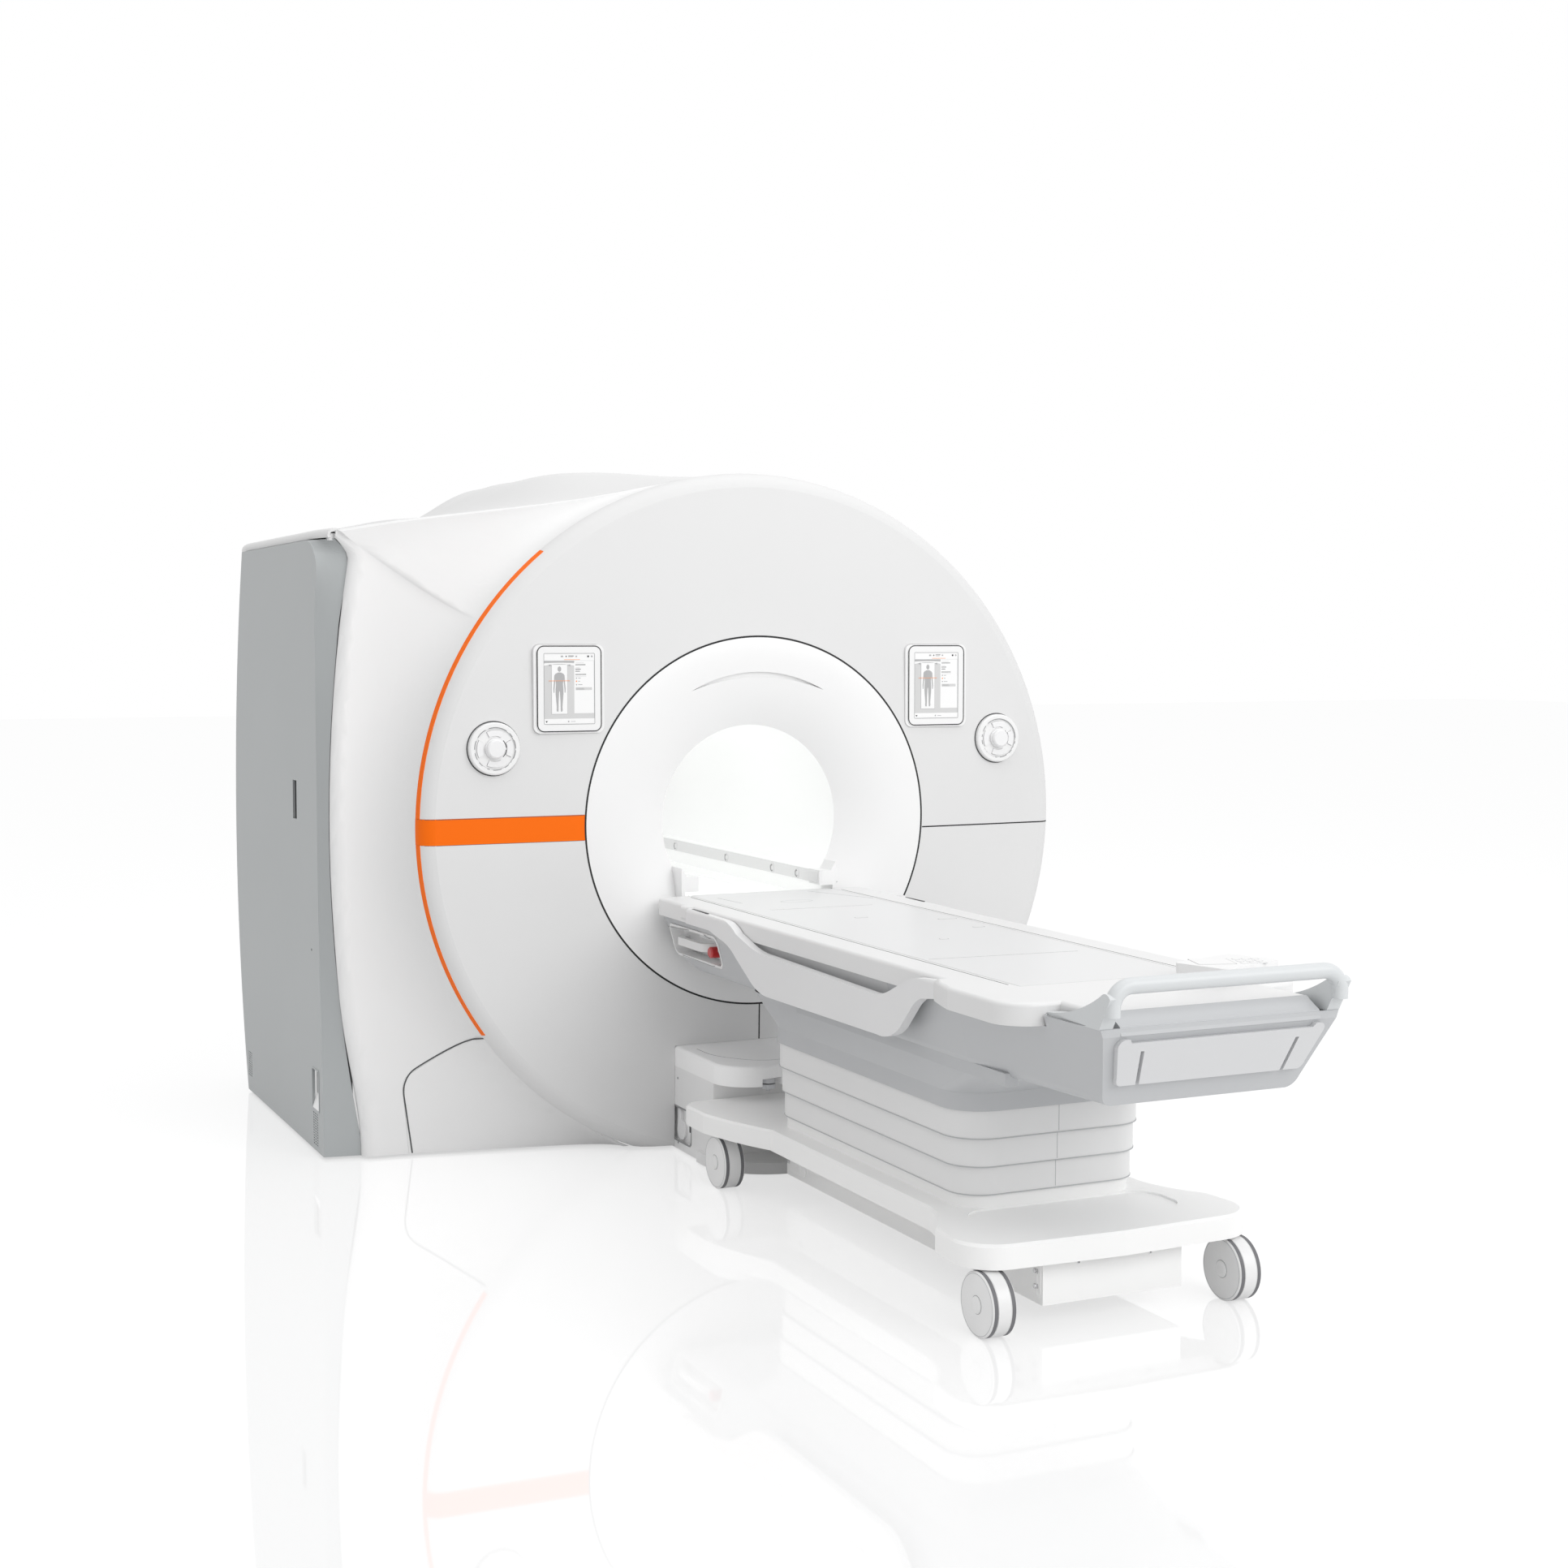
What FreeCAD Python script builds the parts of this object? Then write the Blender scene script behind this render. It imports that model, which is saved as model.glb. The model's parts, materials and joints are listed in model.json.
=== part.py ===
import FreeCAD, Part

import math
import os
import re

import Sketcher

# Magnetic resonance scanner with a dockable patient table.
# Frame: X to the right seen from the patient end, +Y into the bore, +Z up. The origin is on the
# floor below the isocentre. Millimetres. A depth is measured along +Y from the plane of the seam
# round the front ring, and a reach along -Y from the same plane.

V = FreeCAD.Vector

SIZES = (
    # bore, front ring and disc covers
    ("bore_z", 1020), ("bore_dia", 600), ("seam_to_iso", 900), ("floor_gap", 8),
    ("throat_depth", 76), ("ring_dia", 1157), ("ring_wall", 12), ("ring_bulge", 12),
    ("ring_bulge_dia", 860), ("ring_lip", 40), ("seam_gap", 3), ("split_z", 980),
    ("band_height", 78), ("fit_gap", 0.6), ("disc_face_dia", 2090), ("disc_dia", 2182),
    ("disc_cone", 14), ("roll_depth", 66), ("disc_lip", 70), ("cover_wall", 8),
    ("accent_wall", 3), ("accent_depth", 44), ("accent_top_deg", 129.7), ("accent_low_deg", 215),
    ("crescent_dia", 938), ("crescent_deg", 29), ("crescent_height", 17), ("crescent_floor", 16),
    # magnet and coils
    ("magnet_dia", 1960), ("magnet_front", 120), ("magnet_length", 1640), ("warm_bore_dia", 980),
    ("gradient_inner_dia", 800), ("gradient_length", 1500), ("body_coil_wall", 15),
    ("body_coil_length", 1200), ("coil_ring_width", 30), ("turret_x", -300), ("turret_dia", 260),
    ("turret_z", 2024), ("cold_head_dia", 150), ("cold_head_height", 62),
    ("foot_inner", 300), ("foot_width", 90), ("foot_length", 1200), ("foot_height", 165),
    ("cross_width", 120), ("cross_height", 38),
    # bore liner and table trough
    ("liner_wall", 12), ("liner_rear", 1724), ("trough_half", 210), ("ledge_z", 853),
    ("slot_half", 255), ("slot_top_z", 806), ("slot_floor_z", 757), ("shelf_top_z", 880),
    ("shelf_nose", 6), ("track_half", 150), ("track_width", 30), ("track_drop", 2), ("rail_low_z", 812),
    ("rail_high_z", 851), ("rail_thick", 11), ("rail_proud", 2), ("rail_rear", 1330),
    ("socket_dia", 34), ("socket_floor", 6), ("socket_z", 829),
    # side housing, roof and rear
    ("flange_depth", 265), ("flange_lip", 28), ("flange_tongue", 8), ("flange_bulge", 88),
    ("flange_x", 1294), ("flange_mid_z", 1000), ("flange_half_z", 950), ("shoulder_x", 1262),
    ("shoulder_z", 1919), ("cove_start_deg", 100), ("cove_sweep_power", 2.5), ("cove_end_deg", 249),
    ("access_top_z", 384), ("access_side_x", 1088), ("access_side_z", 215), ("access_foot_x", 1060),
    ("panel_x", 1319), ("panel_deep", 94), ("panel_front", 351),
    ("panel_front_z", 1848), ("bevel_bow", 33), ("panel_top_z", 1893), ("panel_top_front", 466),
    ("panel_top_rear", 1430), ("panel_rear", 1606), ("panel_foot_rear", 1460),
    ("panel_seam", 3.5), ("roof_lip_x", 1306), ("roof_nose_x", 1272), ("roof_nose", 180),
    ("roof_skirt", 24), ("roof_tail", 1430), ("band_width", 21), ("band_sweep", 42),
    ("flare_low_z", 1822), ("flare_top_z", 1893), ("flare_out", 51), ("roof_wall", 10), ("hump_height", 100),
    ("hump_x", -400), ("hump_left", 180), ("hump_right", 360), ("roof_rise", 900), ("roof_end_deg", 46),
    ("rear_depth", 1764), ("rear_thick", 36), ("rear_bulge_dia", 1700), ("rear_dia", 2136),
    ("rear_flare_dia", 860), ("right_low_deg", -68),
    # displays and controls
    ("display_x", 631), ("display_z", 1441), ("display_width", 224), ("display_height", 268),
    ("display_corner", 22), ("display_front", 7), ("display_back", 20), ("bezel_width", 204),
    ("bezel_height", 258), ("screen_width", 162), ("screen_height", 214), ("screen_thick", 5),
    ("control_x", 866), ("control_z", 1265), ("control_dia", 158), ("control_panel_dia", 126),
    ("control_front", 9), ("panel_sink", 4), ("knob_dia", 62), ("knob_proud", 22), ("shaft_dia", 12),
    ("button_inner", 76), ("button_outer", 112), ("button_deg", 27), ("button_proud", 4),
    ("button_travel", 2), ("run_gap", 0.6), ("pin_gap", 0.1),
    # docking station
    ("dock_half", 286), ("dock_reach", 298), ("dock_z", 262), ("cap_reach", 398), ("cap_top_z", 324),
    ("cap_corner", 105), ("dock_wall", 6), ("shoe_reach", 452),
    ("shoe_height", 38), ("latch_x", 140), ("latch_reach", 356), ("roller_dia", 44),
    ("roller_thick", 13), ("latch_pin_dia", 12), ("lever_reach", 31), ("lever_z", 66),
    ("lever_dia", 62), ("lever_width", 27), ("lever_high", 64), ("lever_thick", 7),
    ("recess_deep", 12), ("recess_low_z", 28), ("recess_high_z", 140), ("recess_reach", 126),
    # table base
    ("slab_low_z", 158), ("slab_top_z", 216), ("slab_wall", 8), ("slab_bevel", 7),
    ("slab_foot", 2048), ("slab_half", 396), ("slab_corner", 100), ("waist_half", 308),
    ("waist_head", 775), ("waist_foot", 1680), ("dish_sink", 5), ("box_half", 193),
    ("box_low_z", 50), ("box_wall", 6), ("box_head", 620), ("box_foot", 2013), ("beam_width", 80),
    ("beam_half", 372), ("wheel_dia", 153), ("wheel_width", 15), ("caster_x", 339),
    ("caster_half", 31), ("caster_head", 504), ("caster_foot", 2015), ("caster_trail", 30),
    ("stem_dia", 30), ("axle_dia", 16),
    # lift
    ("tier_half", 270), ("tier_head", 660), ("tier_foot", 1771), ("tier_corner", 98),
    ("tier_step", 7), ("tier_wall", 3), ("tier_low_z", 391), ("tier_rise", 70), ("tier_lap", 30),
    ("tier_lip", 6), ("lip_gap", 0.4), ("mast_half_x", 90), ("mast_half_y", 210), ("mast_reach", 1215),
    ("mast_wall", 10), ("mast_top_z", 340), ("ram_low_z", 292), ("shroud_z", 459),
    ("shroud_straight", 44), ("shroud_head", 520), ("shroud_foot", 1990), ("shroud_wall", 3),
    # hull and table top
    ("hull_half", 338), ("hull_low_half", 298), ("hull_low_z", 586), ("hull_top_z", 744),
    ("hull_wall", 8), ("hull_round", 26), ("hull_head", 14), ("hull_head_low", 130),
    ("hull_taper", 1850), ("hull_foot", 2425), ("hull_foot_low", 2338), ("hull_foot_half", 312),
    ("hull_foot_low_half", 249), ("leg_seat_z", 769), ("leg_seat_head", 2215), ("ledge_half", 262),
    ("table_z", 796), ("table_half", 352), ("table_head", 12), ("rail_bay_half", 344),
    ("margin_round", 10), ("bay_head", 288), ("bay_foot", 1808), ("wing_half", 403),
    ("wing_head", 1890), ("wing_foot", 2105), ("wing_end", 2205), ("foot_half", 274),
    ("table_foot", 2372), ("board_half", 245), ("board_side_gap", 2), ("board_thick", 31),
    ("board_head", 10), ("board_foot", 1990), ("glide_gap", 0.3),
    ("pocket_head", 52), ("pocket_foot", 424), ("pocket_low_z", 622), ("pocket_high_z", 722),
    ("pocket_deep", 36), ("pocket_rim", 8), ("tray_wall", 3), ("grip_head", 80), ("grip_foot", 312),
    ("grip_thick", 16), ("grip_height", 24), ("grip_proud", 4), ("stop_reach", 366), ("stop_z", 668),
    ("stop_dia", 34), ("stop_proud", 9), ("stop_travel", 4), ("stop_stem_dia", 16),
    ("guard_x", 358), ("guard_thick", 24), ("guard_axis_z", 781), ("guard_sag_z", 720),
    ("guard_low_z", 613), ("guard_end_low_z", 748), ("guard_head_bend", 560),
    ("guard_foot_bend", 1490), ("hinge_pin_dia", 10), ("hinge_pin_length", 14),
    ("tube_dia", 36), ("tube_half", 298), ("tube_z", 863), ("tube_over", 21), ("tube_bend", 46),
    ("leg_width", 34), ("leg_tip", 2160), ("end_panel_half", 270), ("end_panel_thick", 14),
    ("end_panel_high_z", 752), ("end_panel_low_z", 636),
    ("end_slot_half", 208), ("end_slot_width", 9), ("pad_length", 220), ("pad_width", 150),
    ("pad_thick", 24), ("pad_lift", 15), ("pad_corner", 18), ("pad_x", 262), ("pad_reach", 2085),
    ("pad_deg", 18),
)

doc = FreeCAD.newDocument("scanner")
sheet = doc.addObject("Spreadsheet::Sheet", "Sizes")
for row, (alias, size) in enumerate(SIZES, 1):
    sheet.set("A%d" % row, alias)
    sheet.set("B%d" % row, str(size))
    sheet.setAlias("B%d" % row, alias)
doc.recompute()
NAMES = re.compile(r"\b(" + "|".join(sorted((a for a, _ in SIZES), key=len, reverse=True)) + r")\b")

SEAM = "0 - seam_to_iso"
nodes = {}


def number(expression):
    """The present value of an expression of the sheet's names."""
    return float(sheet.evalExpression(str(expression)))


def bind(thing, prop, expression):
    """Ties one property to an expression of the sheet's names."""
    thing.setExpression(prop, NAMES.sub(r"Sizes.\1", str(expression)))


def depth(expression):
    """The Y of a plane behind the seam."""
    return "(%s) - seam_to_iso" % expression


def reach(expression):
    """The Y of a plane in front of the seam."""
    return "0 - seam_to_iso - (%s)" % expression


def node(name, thing):
    """Names one finished sub-part."""
    thing.Label = name
    nodes[name] = thing
    return thing


def put(thing, x, y, z, turn=None):
    """Places an object, with each coordinate tied to its expression."""
    turn = turn or FreeCAD.Rotation()
    thing.Placement = FreeCAD.Placement(V(number(x), number(y), number(z)), turn)
    for axis, expression in zip("xyz", (x, y, z)):
        bind(thing, "Placement.Base." + axis, expression)
    return thing


# ---------------------------------------------------------------- primitives and booleans


def block(x0, x1, y0, y1, z0, z1):
    thing = doc.addObject("Part::Box", "Box")
    for prop, low, high in (("Length", x0, x1), ("Width", y0, y1), ("Height", z0, z1)):
        bind(thing, prop, "(%s) - (%s)" % (high, low))
    return put(thing, x0, y0, z0)


TURNS = {
    "x": FreeCAD.Rotation(V(0, 1, 0), 90),
    "y": FreeCAD.Rotation(V(1, 0, 0), -90),
    "z": FreeCAD.Rotation(),
}


def rod(axis, dia, x, y, z, length):
    """A cylinder that starts at a point and runs along an axis."""
    thing = doc.addObject("Part::Cylinder", "Cylinder")
    bind(thing, "Radius", "(%s) / 2" % dia)
    bind(thing, "Height", length)
    return put(thing, x, y, z, TURNS[axis])


def drum(dia, y0, y1):
    """A cylinder on the bore axis."""
    return rod("y", dia, "0", y0, "bore_z", "(%s) - (%s)" % (y1, y0))


def fuse(*things):
    if len(things) == 1:
        return things[0]
    thing = doc.addObject("Part::MultiFuse", "Fusion")
    thing.Shapes = list(things)
    thing.Refine = True
    return thing


def group(*things):
    """Several solids of one piece, held as one shape."""
    thing = doc.addObject("Part::Compound", "Group")
    thing.Links = list(things)
    return thing


def cut(base, *tools):
    thing = doc.addObject("Part::Cut", "Cut")
    thing.Base = base
    thing.Tool = fuse(*tools)
    thing.Refine = True
    return thing


def overlap(base, tool):
    thing = doc.addObject("Part::Common", "Common")
    thing.Base = base
    thing.Tool = tool
    return thing


def mirrored(thing):
    copy = doc.addObject("Part::Mirroring", "Mirror")
    copy.Source = thing
    copy.Normal = V(1, 0, 0)
    copy.Base = V(0, 0, 0)
    return copy


def softened(thing, radius, chosen):
    """The object with the chosen edges rounded."""
    doc.recompute()
    size = number(radius)
    picked = [i for i, e in enumerate(thing.Shape.Edges, 1) if chosen(e)]
    copy = doc.addObject("Part::Fillet", "Fillet")
    copy.Base = thing
    copy.Edges = [(i, size, size) for i in picked]
    return copy


# ---------------------------------------------------------------- sketches


def draw(sketch, outline):
    """Draws a closed outline. Each corner is (a, b), or (a, b, ma, mb) where an arc through
    (ma, mb) leads to it, all tied to expressions."""
    count = len(outline)
    at = [V(number(p[0]), number(p[1]), 0) for p in outline]
    ends, rules, tied = [], [], []

    def pin(line, end, pair):
        for way, expression in zip("XY", pair):
            size = number(expression)
            rules.append(Sketcher.Constraint("Distance" + way, -1, 1, line, end, size))
            tied.append((len(rules) - 1, expression))

    for i in range(count):
        step = outline[(i + 1) % count]
        a, b = at[i], at[(i + 1) % count]
        if len(step) == 4:
            middle = V(number(step[2]), number(step[3]), 0)
            clockwise = (middle - a).cross(b - middle).z < 0
            arc = Part.Arc(b, middle, a) if clockwise else Part.Arc(a, middle, b)
            sketch.addGeometry(arc, False)
        else:
            clockwise = False
            sketch.addGeometry(Part.LineSegment(a, b), False)
        ends.append((2, 1) if clockwise else (1, 2))
    for i in range(count):
        j = (i + 1) % count
        step = outline[j]
        rules.append(Sketcher.Constraint("Coincident", i, ends[i][1], j, ends[j][0]))
        pin(i, ends[i][1], step[:2])
        if len(step) == 4:
            middle = V(number(step[2]), number(step[3]), 0)
            dot = sketch.addGeometry(Part.Point(middle), True)
            rules.append(Sketcher.Constraint("PointOnObject", dot, 1, i))
            pin(dot, 1, step[2:])
    sketch.addConstraint(rules)
    for index, expression in tied:
        bind(sketch, "Constraints[%d]" % index, expression)


def body_with(plane, outline):
    body = doc.addObject("PartDesign::Body", "Body")
    sketch = body.newObject("Sketcher::SketchObject", "Sketch")
    origin = [f for f in body.Origin.OriginFeatures if f.Role == plane][0]
    sketch.AttachmentSupport = [(origin, "")]
    sketch.MapMode = "FlatFace"
    draw(sketch, outline)
    return body, sketch


def prism(axis, outline, low, high):
    """A pad along X, Y or Z. Its outline is in (y, z), (x, z) or (x, y)."""
    body, sketch = body_with({"x": "YZ_Plane", "y": "XZ_Plane", "z": "XY_Plane"}[axis], outline)
    pad = body.newObject("PartDesign::Pad", "Pad")
    pad.Profile = sketch
    pad.Reversed = axis == "y"
    bind(pad, "Length", "(%s) - (%s)" % (high, low))
    start = {"x": (low, "0", "0"), "y": ("0", low, "0"), "z": ("0", "0", low)}[axis]
    return put(body, *start)


def lathe(axis, outline, x, y, z):
    """A turned body. Its outline is (distance along the axis, radius)."""
    if axis == "z":
        outline = [(p[1], p[0]) + ((p[3], p[2]) if len(p) == 4 else ()) for p in outline]
    body, sketch = body_with("YZ_Plane" if axis == "y" else "XZ_Plane", outline)
    turn = body.newObject("PartDesign::Revolution", "Revolution")
    turn.Profile = sketch
    turn.ReferenceAxis = (sketch, ["V_Axis" if axis == "z" else "H_Axis"])
    turn.Angle = 360
    return put(body, x, y, z)


def turned(outline):
    """A body turned about the bore axis from an outline of (depth, radius)."""
    return lathe("y", outline, "0", SEAM, "bore_z")


def loft(axis, sections, ruled=False):
    """A loft through outlines that each lie in a plane across Y or Z."""
    turn = FreeCAD.Rotation(V(1, 0, 0), 90) if axis == "y" else FreeCAD.Rotation()
    thing = doc.addObject("Part::Loft", "Loft")
    sketches = []
    for place, outline in sections:
        sketch = doc.addObject("Sketcher::SketchObject", "Section")
        draw(sketch, outline)
        start = ("0", place, "0") if axis == "y" else ("0", "0", place)
        sketches.append(put(sketch, *start, turn))
    thing.Sections = sketches
    thing.Solid = True
    thing.Ruled = ruled
    return thing


def rounded(a0, a1, b0, b1, r):
    """A rectangle with round corners."""
    k = "(%s) * (1 - sqrt(0.5))" % r
    lo_a, hi_a = "%s + (%s)" % (a0, r), "%s - (%s)" % (a1, r)
    lo_b, hi_b = "%s + (%s)" % (b0, r), "%s - (%s)" % (b1, r)
    return [
        (lo_a, b0, "%s + %s" % (a0, k), "%s + %s" % (b0, k)), (hi_a, b0),
        (a1, lo_b, "%s - %s" % (a1, k), "%s + %s" % (b0, k)), (a1, hi_b),
        (hi_a, b1, "%s - %s" % (a1, k), "%s - %s" % (b1, k)), (lo_a, b1),
        (a0, hi_b, "%s + %s" % (a0, k), "%s - %s" % (b1, k)), (a0, lo_b),
    ]


def both_sides(half):
    """A closed outline from its right half, which starts and ends on the centre line."""
    left = []
    for i in range(len(half) - 2, 0, -1):
        p, after = half[i], half[i + 1]
        if len(after) == 4:
            left.append(("0 - (%s)" % p[0], p[1], "0 - (%s)" % after[2], after[3]))
        else:
            left.append(("0 - (%s)" % p[0], p[1]))
    first, second = half[0], half[1]
    if len(second) == 4:
        first = (first[0], first[1], "0 - (%s)" % second[2], second[3])
    return [first] + list(half[1:]) + left


# ---------------------------------------------------------------- curved shells of their own


def net(rows):
    """A smooth face through a net of points."""
    surface = Part.BSplineSurface()
    surface.interpolate(rows)
    return surface.toShape()


def border(face, rows, side):
    """The face's edge that lies along one side of its net."""
    ends = {
        "first": (rows[0][0], rows[0][-1]), "last": (rows[-1][0], rows[-1][-1]),
        "left": (rows[0][0], rows[-1][0]), "right": (rows[0][-1], rows[-1][-1]),
    }[side]
    middle = (ends[0] + ends[1]) * 0.5

    def miss(edge):
        a, b = edge.Vertexes[0].Point, edge.Vertexes[-1].Point
        return min((a - ends[0]).Length + (b - ends[1]).Length, (a - ends[1]).Length + (b - ends[0]).Length)

    return min(face.Edges, key=lambda e: (round(miss(e), 3), (e.CenterOfMass - middle).Length))


def skin(outer, inner):
    """A solid between two nets of points with as many rows and columns."""
    top, bottom = net(outer), net(inner)
    faces = [top, bottom]
    for side in ("first", "last", "left", "right"):
        faces.append(Part.makeRuledSurface(border(top, outer, side), border(bottom, inner, side)))
    shell = Part.Shell(faces)
    shell.sewShape()
    solid = Part.Solid(shell)
    if solid.Volume < 0:
        solid.reverse()
    return solid


def feature(name, shape, x="0", y="0", z="0"):
    thing = doc.addObject("Part::Feature", name)
    thing.Shape = shape
    return put(thing, x, y, z)


# ---------------------------------------------------------------- magnet and coils


def magnet():
    rear = "magnet_front + magnet_length"
    vessel = turned([
        ("magnet_front", "warm_bore_dia / 2"), (rear, "warm_bore_dia / 2"),
        (rear, "magnet_dia / 2 - 40"), ("%s - 40" % rear, "magnet_dia / 2"),
        ("magnet_front + 40", "magnet_dia / 2"), ("magnet_front", "magnet_dia / 2 - 40"),
    ])
    turret = rod("z", "turret_dia", "turret_x", "0", "bore_z + magnet_dia / 2 - 120",
                 "turret_z - bore_z - magnet_dia / 2 + 120")
    node("magnet_vessel", fuse(vessel, turret))
    head = lathe("z", [
        ("0", "0"), ("0", "turret_dia / 2 - 20"), ("12", "turret_dia / 2 - 20"),
        ("12", "cold_head_dia / 2"), ("cold_head_height - 10", "cold_head_dia / 2"),
        ("cold_head_height", "cold_head_dia / 2 - 10"), ("cold_head_height", "0"),
    ], "turret_x", "0", "turret_z")
    node("cold_head", head)
    half = "gradient_length / 2"
    coil = cut(drum("warm_bore_dia - 2 * fit_gap", "0 - " + half, half),
               drum("gradient_inner_dia", "0 - " + half, half))
    node("gradient_coil", coil)
    end = "body_coil_length / 2"
    outer = "gradient_inner_dia / 2 - fit_gap"
    inner = "gradient_inner_dia / 2 - body_coil_wall"
    seat = "bore_dia / 2 + liner_wall + fit_gap"
    turned_coil = lathe("y", [
        ("0 - %s" % end, seat), ("coil_ring_width - %s" % end, seat),
        ("coil_ring_width - %s" % end, inner), ("%s - coil_ring_width" % end, inner),
        ("%s - coil_ring_width" % end, seat), (end, seat), (end, outer), ("0 - %s" % end, outer),
    ], "0", "0", "bore_z")
    passage = block("0 - slot_half - liner_wall - fit_gap", "slot_half + liner_wall + fit_gap",
                    "0 - body_coil_length", "body_coil_length",
                    "slot_floor_z - liner_wall - fit_gap", "shelf_top_z + fit_gap")
    node("body_coil", cut(turned_coil, passage))


def base():
    low, high = "0 - foot_length / 2", "foot_length / 2"
    foot = block("foot_inner", "foot_inner + foot_width", low, high, "0", "foot_height")
    cross = block("0 - foot_inner - foot_width", "foot_inner + foot_width",
                  "0 - cross_width / 2", "cross_width / 2", "0", "cross_height")
    clear = drum("magnet_dia + 0.4", "0 - foot_length", "foot_length")
    node("base_frame", cut(fuse(foot, mirrored(foot), cross), clear))


# ---------------------------------------------------------------- bore liner and trough


def trough_walls(low, high):
    """The table's passage below the bore: floor, side walls and shelves."""
    outer = block("0 - slot_half - liner_wall", "slot_half + liner_wall", low, high,
                  "slot_floor_z - liner_wall", "shelf_top_z")
    return outer


def trough_space(low, high):
    bore = overlap(drum("bore_dia", low, high),
                   block("0 - bore_dia", "bore_dia", low, high, "ledge_z", "bore_z + bore_dia"))
    trough = block("0 - trough_half", "trough_half", low, high, "slot_top_z - 1", "ledge_z + 1")
    slot = block("0 - slot_half", "slot_half", low, high, "slot_floor_z", "slot_top_z")
    bay = block("trough_half - 1", "trough_half - rail_proud + rail_thick + 0.1", low,
                depth("rail_rear + 0.3"), "rail_low_z - 0.1", "rail_high_z + 0.1")
    return [bore, trough, slot, bay]


def liner():
    low, high = depth("throat_depth + 0.2"), depth("liner_rear")
    tube = cut(drum("bore_dia + 2 * liner_wall", low, high), drum("bore_dia", low, high))
    channel = trough_walls(low, high)
    tracks = [
        block("%s - track_width / 2" % side, "%s + track_width / 2" % side, low, high,
              "slot_floor_z - 1", "table_z - board_thick - track_drop")
        for side in ("track_half", "0 - track_half")
    ]
    space = trough_space(depth("0 - shelf_nose - 5"), depth("liner_rear + 5"))
    node("bore_liner", group(cut(tube, trough_walls(low, high), *space), fuse(cut(channel, *space), *tracks)))


def socket_rail():
    bar = block("trough_half - rail_proud", "trough_half - rail_proud + rail_thick",
                depth("0 - shelf_nose"), depth("rail_rear"), "rail_low_z", "rail_high_z")
    sockets = [
        rod("x", "socket_dia", "trough_half - rail_proud - 1", depth(place), "socket_z",
            "socket_floor + 1")
        for place in ("162", "356", "740", "1212")
    ]
    node("socket_rail", cut(bar, *sockets))


def front_ring():
    rim, wall = "ring_dia / 2", "ring_wall"
    dish = turned([
        ("0", rim),
        ("throat_depth", "bore_dia / 2", "ring_bulge", "ring_bulge_dia / 2"),
        ("throat_depth", "bore_dia / 2 + %s" % wall),
        (wall, "%s - %s" % (rim, wall), "ring_bulge + %s" % wall, "ring_bulge_dia / 2 + 4"),
        ("ring_lip", "%s - %s" % (rim, wall)), ("ring_lip", rim),
    ])
    low, high = depth("0 - shelf_nose"), depth("throat_depth")
    space = trough_space(depth("0 - shelf_nose - 80"), depth("throat_depth + 5"))
    upper = "crescent_dia / 2"
    across = "%s * cos(90 - crescent_deg)" % upper
    up = "bore_z + %s * sin(90 - crescent_deg)" % upper
    crescent = prism("y", [
        ("0 - " + across, up, "0", "bore_z + %s - crescent_height" % upper),
        (across, up, "0", "bore_z + %s" % upper),
    ][::-1], depth("0 - 40"), depth("crescent_floor"))
    rim_part = cut(dish, crescent, trough_walls(low, high), *space)
    node("front_ring", group(rim_part, cut(trough_walls(low, high), *space)))


# ---------------------------------------------------------------- disc covers


def disc_shell():
    wall, rim = "cover_wall", "disc_dia / 2"
    inside = "ring_dia / 2 + seam_gap"
    return turned([
        ("0", inside), ("disc_cone", "disc_face_dia / 2"),
        ("roll_depth", rim, "disc_cone + 13", "disc_face_dia / 2 + 26"),
        ("disc_lip", rim), ("disc_lip", "%s - %s" % (rim, wall)),
        ("roll_depth", "%s - %s" % (rim, wall)),
        ("disc_cone + " + wall, "disc_face_dia / 2 - 3", "disc_cone + 20", "disc_face_dia / 2 + 17"),
        (wall, "%s + %s" % (inside, wall)), ("ring_lip", "%s + %s" % (inside, wall)),
        ("ring_lip", inside),
    ])


def accent_ring():
    rim, wall = "disc_dia / 2", "accent_wall"
    return turned([
        ("accent_depth", "%s - 4.6" % rim), ("roll_depth", "%s + 0.6" % rim),
        ("roll_depth", "%s - %s" % (rim, wall)), ("accent_depth", "%s - 4.6 - %s" % (rim, wall)),
    ])


def wedge(low, high, grow):
    """The sector of the accent strip, seen along Y."""
    far = "disc_dia"
    a, b = "accent_top_deg - %s" % grow, "accent_low_deg + %s" % grow
    return prism("y", [
        ("0", "bore_z"), ("%s * cos(%s)" % (far, a), "bore_z + %s * sin(%s)" % (far, a)),
        ("0 - 2 * " + far, "bore_z"), ("%s * cos(%s)" % (far, b), "bore_z + %s * sin(%s)" % (far, b)),
    ], low, high)


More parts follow.
